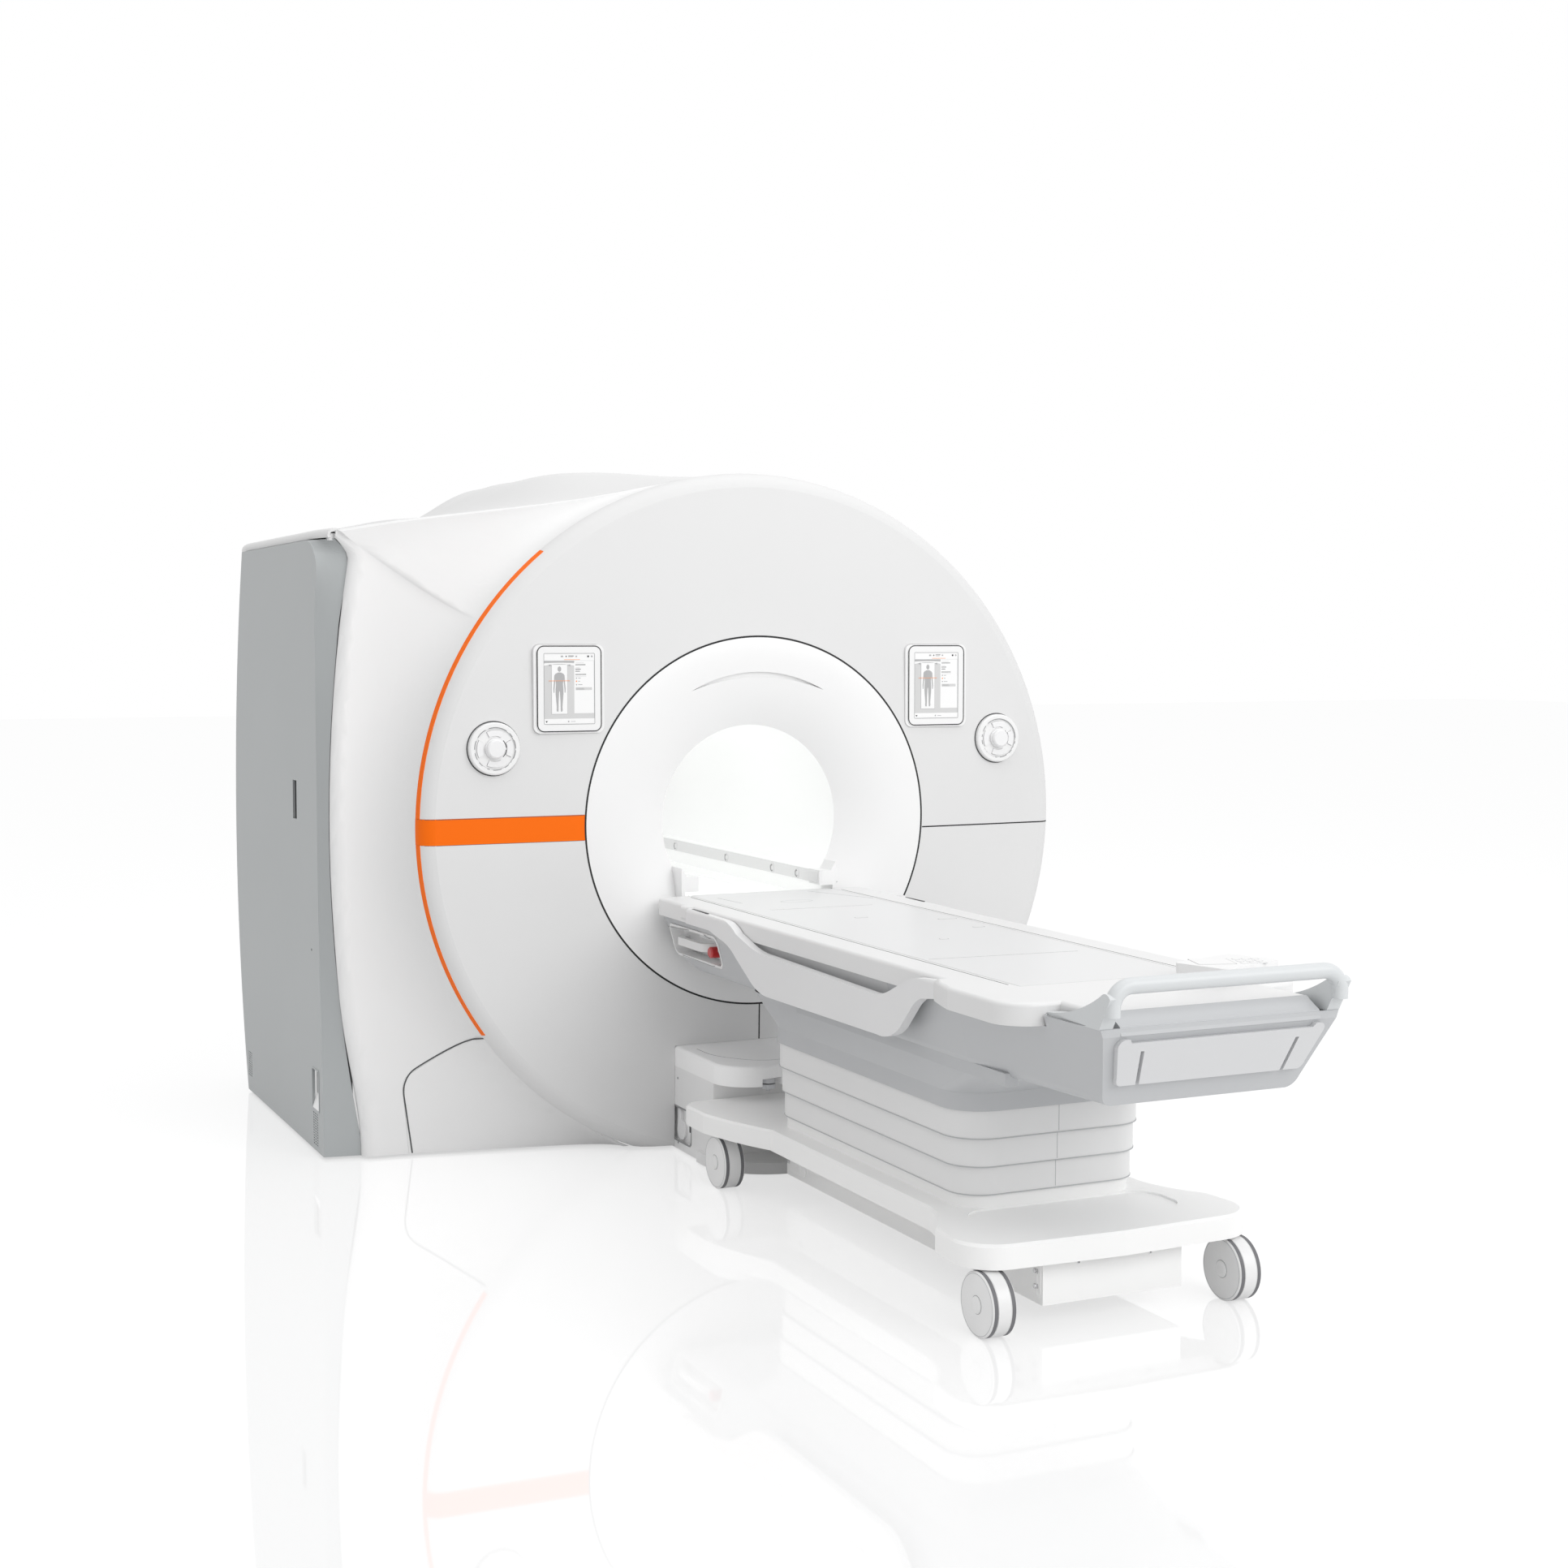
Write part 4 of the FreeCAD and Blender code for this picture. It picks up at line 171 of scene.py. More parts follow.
def make_floor():
    """White studio floor: a soft shadow, and a mirror-like reflection as of polished resin."""
    mesh = bpy.data.meshes.new("floor")
    corners = [(x * FLOOR_HALF, y * FLOOR_HALF, 0) for x, y in ((-1, -1), (1, -1), (1, 1), (-1, 1))]
    mesh.from_pydata(corners, [], [(0, 1, 2, 3)])
    floor = bpy.data.objects.new("floor", mesh)
    bpy.context.scene.collection.objects.link(floor)
    paint = bpy.data.materials.new("floor")
    paint.use_nodes = True
    tree = paint.node_tree
    tree.nodes.clear()
    bounce = shader_node(tree, "BsdfDiffuse", Color=grey(FLOOR_BOUNCE))
    shaded = shader_node(tree, "BsdfDiffuse", Color=grey(FLOOR_SHADED))
    white = shader_node(tree, "Emission", Strength=FLOOR_WHITE)
    add = shader_node(tree, "AddShader", _0=shaded.outputs[0], _1=white.outputs[0])
    gloss = shader_node(tree, "BsdfGlossy", Roughness=FLOOR_ROUGH)
    polished = shader_node(tree, "MixShader", Fac=FLOOR_MIRROR, _1=add.outputs[0], _2=gloss.outputs[0])
    seen = shader_node(tree, "MixShader", Fac=seen_directly(tree), _1=bounce.outputs[0],
                       _2=polished.outputs[0])
    shader_node(tree, "OutputMaterial", Surface=seen.outputs[0])
    mesh.materials.append(paint)


# -------------------- mesh tools, in millimetres

PLANE = {"x": (1, 2, 0), "y": (0, 2, 1), "z": (0, 1, 2)}
EDGE_DEG = 25.0
BEVEL_STEPS = 2
CORNER_STEPS = 6
WELD = 0.001


def point(axis, across, up, along):
    """A place from two measures in the plane across an axis and one along it."""
    spot = [0.0, 0.0, 0.0]
    for slot, value in zip(PLANE[axis], (across, up, along)):
        spot[slot] = value
    return Vector(spot)


def finished(part, soft=0.0):
    """Turns a part's faces outwards and rounds its sharp edges."""
    bmesh.ops.recalc_face_normals(part, faces=part.faces)
    if soft:
        sharp = [e for e in part.edges if len(e.link_faces) == 2
                 and e.calc_face_angle() > math.radians(EDGE_DEG)]
        bmesh.ops.bevel(part, geom=sharp, offset=soft, segments=BEVEL_STEPS, profile=0.5,
                        affect="EDGES", clamp_overlap=True)
    return part


def prism(axis, outline, low, high, soft=0.0):
    """An outline drawn across an axis and pushed along it."""
    part = bmesh.new()
    ends = [[part.verts.new(point(axis, a, b, c)) for a, b in outline] for c in (low, high)]
    part.faces.new(ends[0])
    part.faces.new(ends[1])
    for i in range(len(outline)):
        j = (i + 1) % len(outline)
        part.faces.new((ends[0][i], ends[0][j], ends[1][j], ends[1][i]))
    return finished(part, soft)


def block(low, high):
    """A box between two corners."""
    outline = [(low[0], low[1]), (high[0], low[1]), (high[0], high[1]), (low[0], high[1])]
    return prism("z", outline, low[2], high[2])


def circle(centre, radius, count):
    """Points round a circle, as (across, up)."""
    return [(centre[0] + radius * math.cos(2 * math.pi * i / count),
             centre[1] + radius * math.sin(2 * math.pi * i / count)) for i in range(count)]


def skinned(rows, closed):
    """A shell over rows of points: each row is a closed loop, and the rows may close up too."""
    part = bmesh.new()
    rows = [[part.verts.new(spot) for spot in row] for row in rows]
    for a, b in zip(rows, rows[1:] + rows[:1] if closed else rows[1:]):
        for i in range(len(a)):
            j = (i + 1) % len(a)
            part.faces.new((a[i], a[j], b[j], b[i]))
    if not closed:
        part.faces.new(rows[0])
        part.faces.new(rows[-1])
    return part


def lathe(axis, centre, profile, sides=48):
    """A closed profile of (along, radius) turned about an axis."""
    rows = []
    for i in range(sides):
        turn = 2 * math.pi * i / sides
        rows.append([point(axis, centre[0] + r * math.cos(turn), centre[1] + r * math.sin(turn), along)
                     for along, r in profile])
    part = skinned(rows, True)
    bmesh.ops.remove_doubles(part, verts=part.verts, dist=WELD)
    return finished(part)


def annulus(axis, centre, inner, outer, low, high, sides=96):
    """A flat ring across an axis."""
    return lathe(axis, centre, [(low, inner), (low, outer), (high, outer), (high, inner)], sides)


def frame_ring(axis, outer, inner, low, high):
    """A thin rim between two loops of as many points."""
    return finished(skinned([[point(axis, a, b, along) for a, b in loop] for loop, along in
                             ((outer, low), (inner, low), (inner, high), (outer, high))], True))


def disc(axis, centre, radius, low, high, sides=32, soft=0.0):
    return prism(axis, circle(centre, radius, sides), low, high, soft)


def smooth_path(corners, radius):
    """A line through corners, with each corner turned on a curve of up to a radius."""
    line = [Vector(corners[0])]
    for before, corner, after in zip(corners, corners[1:], corners[2:]):
        before, corner, after = Vector(before), Vector(corner), Vector(after)
        cut = min(radius, (before - corner).length / 2, (after - corner).length / 2)
        start = corner + (before - corner).normalized() * cut
        end = corner + (after - corner).normalized() * cut
        for i in range(CORNER_STEPS + 1):
            t = i / CORNER_STEPS
            line.append(start * (1 - t) ** 2 + corner * 2 * t * (1 - t) + end * t * t)
    line.append(Vector(corners[-1]))
    return line


def tube(line, radius, sides=12):
    """A round wire along a line."""
    rows = []
    normal = None
    for i, spot in enumerate(line):
        ahead = (line[min(i + 1, len(line) - 1)] - line[max(i - 1, 0)]).normalized()
        if normal is None:
            normal = ahead.orthogonal().normalized()
        normal = (normal - ahead * normal.dot(ahead)).normalized()
        side = ahead.cross(normal)
        rows.append([spot + normal * across + side * up for across, up in circle((0, 0), radius, sides)])
    return finished(skinned(rows, False))


def rounded(x0, x1, y0, y1, radius, steps=CORNER_STEPS):
    """A rectangle with round corners."""
    outline = []
    corners = ((x1 - radius, y1 - radius, 0), (x0 + radius, y1 - radius, 90),
               (x0 + radius, y0 + radius, 180), (x1 - radius, y0 + radius, 270))
    for cx, cy, first in corners:
        for i in range(steps + 1):
            turn = math.radians(first + 90.0 * i / steps)
            outline.append((cx + radius * math.cos(turn), cy + radius * math.sin(turn)))
    return outline


def trees(*names):
    """Search trees of the nodes' surfaces."""
    found = []
    for name in names:
        mesh = nodes[name].data
        corners = [v.co / MM for v in mesh.vertices]
        found.append(BVHTree.FromPolygons(corners, [tuple(p.vertices) for p in mesh.polygons]))
    return found


def landing(surfaces, start, way):
    """Where a ray from outside first meets any of the surfaces."""
    best = None
    for surface in surfaces:
        spot, normal, _, away = surface.ray_cast(Vector(start), Vector(way))
        if spot is not None and (best is None or away < best[2]):
            best = (spot, normal, away)
    return best


# A line is laid on the surface as seen from this far off, judged at this distance to each side of it.
LOOK_FROM = 400.0
LOOK_BESIDE = 4.0


def surface_at(surfaces, spot, way, ahead):
    """The surface at a place on a seam, judged from both its banks, so a gap there doesn't matter."""
    aside = ahead.cross(way).normalized() * LOOK_BESIDE
    banks = []
    for step in (aside, -aside):
        hit = landing(surfaces, spot + step - way * LOOK_FROM, way)
        if hit is not None:
            normal = hit[1] if hit[1].dot(way) < 0 else -hit[1]
            banks.append((hit[0] - step, normal, hit[2]))
    banks.sort(key=lambda bank: bank[2])
    if len(banks) == 2 and banks[1][2] - banks[0][2] < LOOK_BESIDE:
        return (banks[0][0] + banks[1][0]) / 2, (banks[0][1] + banks[1][1]).normalized()
    return banks[0][:2] if banks else None


def drape(surfaces, line, way, width, proud=0.25, sunk=0.6, gap=8.0):
    """A thin band laid along a line on a surface that it meets looking one way."""
    way = Vector(way).normalized()
    places = []
    for start, end in zip(line, line[1:]):
        start, end = Vector(start), Vector(end)
        count = max(1, int((end - start).length / gap))
        places += [(start.lerp(end, i / count), end - start) for i in range(count)]
    places.append((Vector(line[-1]), places[-1][1]))
    landed = [surface_at(surfaces, spot, way, ahead) for spot, ahead in places]
    landed = [place for place in landed if place is not None]
    rows = []
    for i, (spot, normal) in enumerate(landed):
        ahead = landed[min(i + 1, len(landed) - 1)][0] - landed[max(i - 1, 0)][0]
        side = ahead.cross(normal).normalized() * (width / 2)
        top, low = spot + normal * proud, spot - normal * sunk
        rows.append((top - side, top + side, low + side, low - side))
    return finished(skinned(rows, False))


SMOOTH_DEG = 32.0


def shade(mesh, crease_deg):
    """Shades a mesh smooth, apart from its creases."""
    mesh.shade_smooth()
    mesh.set_sharp_from_angle(angle=math.radians(crease_deg))


class Piece:
    """One object of the scene: parts in millimetres, each with its own paint."""

    def __init__(self, name, body, slot):
        self.name, self.body, self.slot = name, body, slot
        self.mesh, self.paints = bmesh.new(), []

    def add(self, paint, *parts):
        if paint not in self.paints:
            self.paints.append(paint)
        index = self.paints.index(paint)
        for part in parts:
            for face in part.faces:
                face.material_index = index
            held = bpy.data.meshes.new("held")
            part.to_mesh(held)
            part.free()
            self.mesh.from_mesh(held)
            bpy.data.meshes.remove(held)

    def bare(self):
        """The mesh as a plain object that rides on nothing yet."""
        mesh = bpy.data.meshes.new(self.name)
        for vert in self.mesh.verts:
            vert.co *= MM
        self.mesh.to_mesh(mesh)
        self.mesh.free()
        for paint in self.paints:
            mesh.materials.append(PAINT[paint])
        thing = bpy.data.objects.new(self.name, mesh)
        bpy.context.scene.collection.objects.link(thing)
        return thing

    def done(self):
        """The mesh as a piece of the scene, riding on its body."""
        thing = self.bare()
        shade(thing.data, SMOOTH_DEG)
        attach(thing, self.body)


# -------------------- materials

CLOUD_SCALE = 3.0
NOISE_DETAIL = 3.0
MOTTLE = 0.02
UNEVEN_GLOSS = 0.08
COAT_ROUGH = 0.05
GRAIN_DETAIL = 2.0
GRAIN_HEIGHT = 0.0002


def new_material(name, colour, rough, grain=0.0, grain_size=0.0012, coat=0.0, metal=0.0, glow=0.0,
                 shine=0.5):
    """A moulded or painted surface: faint mottling of its colour, uneven gloss and fine grain."""
    paint = bpy.data.materials.new(name)
    paint.use_nodes = True
    tree = paint.node_tree
    shader = tree.nodes["Principled BSDF"]
    for socket, value in (("Metallic", metal), ("Coat Weight", coat), ("Specular IOR Level", shine),
                          ("Coat Roughness", COAT_ROUGH)):
        shader.inputs[socket].default_value = value
    place = shader_node(tree, "TexCoord").outputs["Object"]
    cloud = shader_node(tree, "TexNoise", Scale=CLOUD_SCALE, Detail=NOISE_DETAIL, Vector=place)
    tint = tree.nodes.new("ShaderNodeMix")
    tint.data_type = "RGBA"
    tint.inputs["A"].default_value = [c * (1 - MOTTLE) for c in colour] + [1]
    tint.inputs["B"].default_value = [min(1.0, c * (1 + MOTTLE)) for c in colour] + [1]
    tree.links.new(cloud.outputs["Fac"], tint.inputs["Factor"])
    tree.links.new(tint.outputs["Result"], shader.inputs["Base Color"])
    spread = shader_node(tree, "MapRange", To_Min=rough * (1 - UNEVEN_GLOSS),
                         To_Max=min(1.0, rough * (1 + UNEVEN_GLOSS)), Value=cloud.outputs["Fac"])
    tree.links.new(spread.outputs["Result"], shader.inputs["Roughness"])
    if grain:
        fine = shader_node(tree, "TexNoise", Scale=1.0 / grain_size, Detail=GRAIN_DETAIL, Vector=place)
        bump = shader_node(tree, "Bump", Strength=grain, Distance=GRAIN_HEIGHT, Height=fine.outputs["Fac"])
        tree.links.new(bump.outputs["Normal"], shader.inputs["Normal"])
    # A glow makes a finish give light of its own: the screens' own light, and painted light on the bore's
    # liner, the cap, the inset strip and the slab.
    if glow:
        tree.links.new(tint.outputs["Result"], shader.inputs["Emission Color"])
        shader.inputs["Emission Strength"].default_value = glow
    return paint


# Colour, roughness and grain of each finish, and then what some of them have besides.
FINISHES = {
    "cover_white": ((0.87, 0.87, 0.87), 0.38, 0.25),
    # A darker copy of the covers' white: painted shade for the roof under the top light.
    "roof_white_shaded": ((0.76, 0.76, 0.76), 0.40, 0.25),
    "disc_white": ((0.755, 0.755, 0.755), 0.45, 0.05),
    "bore_white": ((0.90, 0.90, 0.90), 0.32, 0.1),
    # The liner glows: painted light inside the bore, where no lamp is.
    "bore_glow_painted": ((0.86, 0.865, 0.86), 0.45, 0.1),
    "rail_white": ((0.86, 0.86, 0.86), 0.32, 0.1),
    "panel_grey": ((0.43, 0.45, 0.455), 0.42, 0.5),
    # White, with a glow: painted light on the dock's cap, which the table shades, and a painted highlight on
    # the pull's ledge.
    "cap_white_lit": ((0.92, 0.92, 0.92), 0.42, 0.3),
    "hull_grey": ((0.53, 0.54, 0.553), 0.36, 0.25),
    "bar_grey": ((0.66, 0.68, 0.69), 0.34, 0.2),
    "rail_grey": ((0.68, 0.685, 0.695), 0.36, 0.25),
    "guard_white": ((0.80, 0.80, 0.805), 0.34, 0.2),
    "pad_white": ((0.85, 0.85, 0.85), 0.38, 0.3),
    "top_white": ((0.79, 0.79, 0.79), 0.36, 0.2),
    # Glows: painted light on the inset strip, which the margin shades, and in the pull's recess.
    "strip_grey_lit": ((0.52, 0.525, 0.53), 0.40, 0.3),
    "board_grey": ((0.75, 0.752, 0.755), 0.30, 0.2),
    # A darker copy of the white plastic: painted shade on the sleeves' sides.
    "tier_white_shaded": ((0.83, 0.83, 0.83), 0.40, 0.25),
    # A lighter copy of the white plastic, with a glow: painted light on the slab and the box's brackets,
    # which the table shades.
    "slab_white_lit": ((0.93, 0.93, 0.925), 0.40, 0.25),
    "accent_orange": ((1.0, 0.165, 0.002), 0.50, 0.05),
    "steel_paint": ((0.62, 0.63, 0.65), 0.45, 0.4),
    "coil_resin": ((0.58, 0.54, 0.44), 0.5, 0.5),
    "bezel_white": ((0.88, 0.88, 0.88), 0.32, 0.1),
    "knob_white": ((0.88, 0.88, 0.885), 0.30, 0.1),
    "stop_red": ((0.50, 0.012, 0.015), 0.28),
    "fork_grey": ((0.82, 0.82, 0.825), 0.42, 0.3),
    "wheel_white": ((0.86, 0.86, 0.86), 0.35, 0.2),
    "tyre_grey": ((0.17, 0.17, 0.18), 0.60, 0.6),
    "screw_steel": ((0.55, 0.55, 0.56), 0.35),
    "gap_black": ((0.012, 0.012, 0.013), 0.7),
    "seam_grey": ((0.075, 0.077, 0.08), 0.6),
    "line_grey": ((0.30, 0.305, 0.31), 0.5),
    "faint_line": ((0.50, 0.51, 0.52), 0.5),
    "ui_glass": ((0.80, 0.81, 0.81), 0.10),
    "ui_white": ((0.88, 0.88, 0.88), 0.2),
    "ui_pale": ((0.66, 0.66, 0.66), 0.2),
    "ui_mid": ((0.44, 0.44, 0.445), 0.2),
    "ui_figure": ((0.45, 0.45, 0.455), 0.2),
    "ui_dark": ((0.05, 0.05, 0.052), 0.2),
    "ui_orange": ((0.92, 0.36, 0.14), 0.2),
}
# Glows on the bore's liner, the cap, the inset strip and the slab are painted light; the screens' white glows
# with their own light.
BESIDES = {
    "bore_glow_painted": dict(glow=0.25),
    "panel_grey": dict(grain_size=0.002),
    "cap_white_lit": dict(glow=0.05),
    "strip_grey_lit": dict(glow=0.06),
    "slab_white_lit": dict(glow=0.03),
    "accent_orange": dict(shine=0.15),
    "stop_red": dict(coat=0.5),
    "tyre_grey": dict(grain_size=0.0008),
    "screw_steel": dict(metal=0.9),
    "ui_glass": dict(coat=1.0),
    "ui_white": dict(glow=0.06),
}
PAINT = {name: new_material(name, *finish, **BESIDES.get(name, {})) for name, finish in FINISHES.items()}


# -------------------- the frame's own pieces

CASTERS = (1, 2, 3, 4)
NODE_PAINT = {
    "bore_white": ["front_ring"],
    "rail_white": ["socket_rail"],
    "roof_white_shaded": ["top_cover"],
    "bore_glow_painted": ["bore_liner"],
    "disc_white": ["front_cover_upper", "front_cover_lower_left", "front_cover_lower_right"],
    "panel_grey": ["service_panel"],
    "cap_white_lit": ["dock_cap"],
    "hull_grey": ["hull"],
    "bar_grey": ["handlebar"],
    "rail_grey": ["end_panel"],
    "guard_white": ["side_rail_left", "side_rail_right"],
    "pad_white": ["remote_pad"],
    "top_white": ["tabletop_frame"],
    "board_grey": ["board"],
    "tier_white_shaded": ["tier_1", "tier_2", "tier_3", "pull_handles"],
    "slab_white_lit": ["chassis_cover", "chassis_frame"],
    "accent_orange": ["accent_trim"],
    "steel_paint": ["magnet_vessel", "base_frame", "lift_mast", "cold_head", "latch_rollers"],
    "coil_resin": ["gradient_coil", "body_coil"],
    "bezel_white": ["display_frames", "control_rings"],
    "ui_glass": ["screens"],
    "knob_white": ["knob_left", "knob_right", "dock_lever"],
    "stop_red": ["stop_button_left", "stop_button_right"],
    "fork_grey": ["caster_fork_%d" % i for i in CASTERS],
    "wheel_white": ["caster_wheel_%d" % i for i in CASTERS],
}


def dress_nodes():
    """Gives each piece of the frame its finish, and shades its curved faces smooth."""
    paint_of = {n: p for p, names in NODE_PAINT.items() for n in names}
    for name, thing in nodes.items():
        paint = "knob_white" if name.startswith("button_") else paint_of.get(name, "cover_white")
        thing.data.materials.clear()
        thing.data.materials.append(PAINT[paint])
        shade(thing.data, SMOOTH_DEG)


def paint_faces(name, paint, choose):
    """Gives the faces that a test picks, by centre and normal in millimetres, another finish."""
    mesh = nodes[name].data
    mesh.materials.append(PAINT[paint])
    index = len(mesh.materials) - 1
    for face in mesh.polygons:
        if choose(face.center / MM, face.normal):
            face.material_index = index


# -------------------- the magnet's covers

INTO_BORE = (0, 1, 0)
DOWN = (0, 0, -1)
# Where lines wait before they are laid on the front, the dock, and the table's foot, sides and top.
AHEAD_Y = -1200
BEFORE_CAP_Y = -1500
BEYOND_FOOT_Y = -3500
ASIDE_X = 700
ABOVE_Z = 900
# Each side of the table, and the way in from there.
WAY_FROM = ((-1, (1, 0, 0)), (1, (-1, 0, 0)))


def box_of(name):
    """The lowest and highest corner of a piece of the frame."""
    return [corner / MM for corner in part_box(name)]


def in_front(spots, y=AHEAD_Y):
    """Places in front of a surface, from (across, up)."""
    return [(x, y, z) for x, z in spots]


def beside(side, spots):
    """Places beside the table, from (reach, up)."""
    return [(side * ASIDE_X, reach(along), z) for along, z in spots]


def above(spots):
    """Places above the table, from (across, reach)."""
    return [(x, reach(along), ABOVE_Z) for x, along in spots]


def arc(centre, radius, start, sweep, steps=64):
    """A line on a circle in front of the machine, in degrees from its right-hand point."""
    turns = [math.radians(start + sweep * i / steps) for i in range(steps + 1)]
    return in_front([(centre[0] + radius * math.cos(turn), centre[1] + radius * math.sin(turn))
                     for turn in turns])


def rim_loops(x0, x1, y0, y1, width, radius, inner_radius):
    """The outer and inner loop of a rim that lies inside a rectangle."""
    return (rounded(x0, x1, y0, y1, radius),
            rounded(x0 + width, x1 - width, y0 + width, y1 - width, inner_radius))


# The dark ring in the gap round the ring is painted shade: its half width, and its depth from and to.
RING_SHADE_HALF = 2.8
RING_SHADE_DEPTHS = (-0.5, 3.0)
SEAM_WIDTH = 4.0
SEAM_PROUD = 0.6
# Seams between the covers, as (across, up): beside the ring, below it, and round the access cover.
SPLIT_RIGHT = ((584, 980), (1088, 980))
SPLIT_LOW = ((0, 438), (0, 326))
BAND_EDGES = (979.5, 1056.5)
BAND_SIDE = (-1088, -584)
BAND_EDGE_WIDTH = 1.2
ACCESS_EDGE = ((-98, 716), (-883, 386), (-1070, 262), (-1088, 215), (-1060, 10))
ACCESS_CORNER = 70
ACCESS_WIDTH = 4.4
ACCESS_PROUD = 0.9


def make_seams():
    """Dark strips of painted shade in the front's seams: round the ring, and where the covers meet."""
    seams = Piece("front_seam_shade", "gantry", "tyre_grey")
    low, high = (depth(along) for along in RING_SHADE_DEPTHS)
    seams.add("gap_black", annulus("y", (0, BORE_Z), RING_RADIUS - RING_SHADE_HALF, RING_RADIUS + RING_SHADE_HALF,
                                   low, high, sides=240))
    for neighbour, line in (("front_cover_upper", SPLIT_RIGHT), ("front_cover_lower_left", SPLIT_LOW)):
        covers = trees(neighbour, "front_cover_lower_right")
        seams.add("gap_black", drape(covers, in_front(line), INTO_BORE, SEAM_WIDTH, proud=SEAM_PROUD))
    band = trees("front_cover_upper", "front_cover_lower_left", "accent_trim")
    for z in BAND_EDGES:
        line = in_front([(x, z) for x in BAND_SIDE])
        seams.add("seam_grey", drape(band, line, INTO_BORE, BAND_EDGE_WIDTH))
    side = trees("side_cover_left", "access_cover_left")
    edge = smooth_path(in_front(ACCESS_EDGE), ACCESS_CORNER)
    seams.add("seam_grey", drape(side, edge, INTO_BORE, ACCESS_WIDTH, proud=ACCESS_PROUD, gap=12))
    seams.done()


# -------------------- displays and controls

DISPLAY_X = 631
DISPLAY_Z = 1441.5
# Rims: half width and height, width, outer and inner corner, finish, and how far they stand out.
BEZEL_RIM = (103, 130, 3.0, 22, 19, "gap_black", 0.4)
SCREEN_RIM = (81.3, 107.3, 1.3, 3, 1.7, "line_grey", 0.2)
RIM_SUNK = 0.6
SCREEN_SIZE = (161, 213)
LAYER = 0.35
LAYER_SUNK = 0.2
# Plates on the screen: left, right, bottom and top from the screen's lower left corner, layer, finish.
SCREEN_PLATES = (
    (0, 161, 192.0, 213, 1, "ui_white"), (0, 161, 0, 16.5, 1, "ui_white"),
    (0, 96, 16.5, 190.3, 1, "ui_pale"), (96, 158.6, 32.5, 190.3, 1, "ui_white"),
    (96, 161, 16.5, 32.5, 1, "ui_pale"),
    (0, 96, 185.4, 190.3, 2, "ui_mid"), (64.5, 114.5, 193.6, 195.0, 2, "ui_orange"),
    (23.4, 74.6, 30.2, 180.4, 2, "ui_mid"), (24.3, 73.7, 31.1, 179.5, 3, "ui_white"),
    (15, 82, 130.0, 131.4, 5, "ui_orange"),
    (99.8, 127, 184.0, 185.0, 2, "ui_pale"), (99.8, 132, 178.0, 179.8, 2, "ui_dark"),
    (99.8, 114, 169.6, 170.6, 2, "ui_pale"), (99.8, 116.8, 164.6, 166.4, 2, "ui_dark"),
    (99.8, 114, 158.4, 160.2, 2, "ui_dark"), (99.8, 134, 148.6, 150.4, 2, "ui_dark"),
    (99.8, 135, 143.6, 144.6, 2, "ui_pale"), (108.5, 116.5, 137.6, 139.4, 2, "ui_mid"),
    (108.5, 114.5, 128.2, 130.0, 2, "ui_mid"), (108.5, 122, 117.8, 119.6, 2, "ui_mid"),
    (100.8, 152.4, 102.4, 110.8, 2, "ui_pale"), (102.4, 126, 107.2, 108.4, 3, "ui_mid"),
    (102.4, 129, 104.2, 105.6, 3, "ui_mid"), (85.5, 99.5, 7.2, 8.6, 2, "ui_mid"),
    (53.6, 61.0, 201.6, 206.4, 2, "ui_mid"), (77.6, 95.0, 204.6, 206.4, 2, "ui_dark"),
    (77.6, 92.0, 201.4, 202.6, 2, "ui_mid"), (100.4, 105.6, 202.0, 206.0, 2, "ui_mid"),
)
# Round marks: across, up, radius, finish.
SCREEN_DOTS = ((103.2, 138.5, 1.9, "ui_mid"), (103.2, 129.1, 2.2, "ui_orange"),
               (103.2, 118.7, 1.9, "ui_mid"), (140.8, 204.0, 3.0, "ui_dark"),
               (152.4, 204.0, 2.8, "ui_mid"), (77.4, 8.0, 2.2, "ui_mid"), (70.6, 204.0, 2.0, "ui_dark"))
# Small triangles: two at the pictured bore, and one in the foot of the page.
SCREEN_WEDGES = (((14, 178.4), (21, 174.6), (21, 180.4), 5, "ui_mid"),
                 ((76, 178.4), (83, 174.6), (83, 180.4), 5, "ui_mid"),
                 ((4.2, 10.0), (11.4, 10.0), (7.8, 4.6), 2, "ui_dark"))
PICTURE_WIDTH = 96.0
PICTURE_STEPS = 12
# The lower and upper edge of the pictured bore: height at its ends, and rise.
BORE_EDGES = ((176, 5.5), (183, 2.2))
# The standing figure, by its right half: (across, up) from the middle of its feet.
FIGURE = ((0, 118), (5, 117.5), (12.5, 114), (16.2, 109), (17.2, 92), (19.4, 68), (18.6, 57),
          (16.2, 57), (15.8, 68), (13.6, 88), (12.6, 98), (11.0, 82), (12.4, 66), (12.2, 52),
          (9.0, 14), (9.6, 4), (7.6, 0), (4.2, 0), (3.6, 6), (3.0, 30), (1.4, 58), (0, 63))
FEET = (48.8, 38.0)
HEAD_Z = 166.0
HEAD_SIZE = (5.6, 8.0)


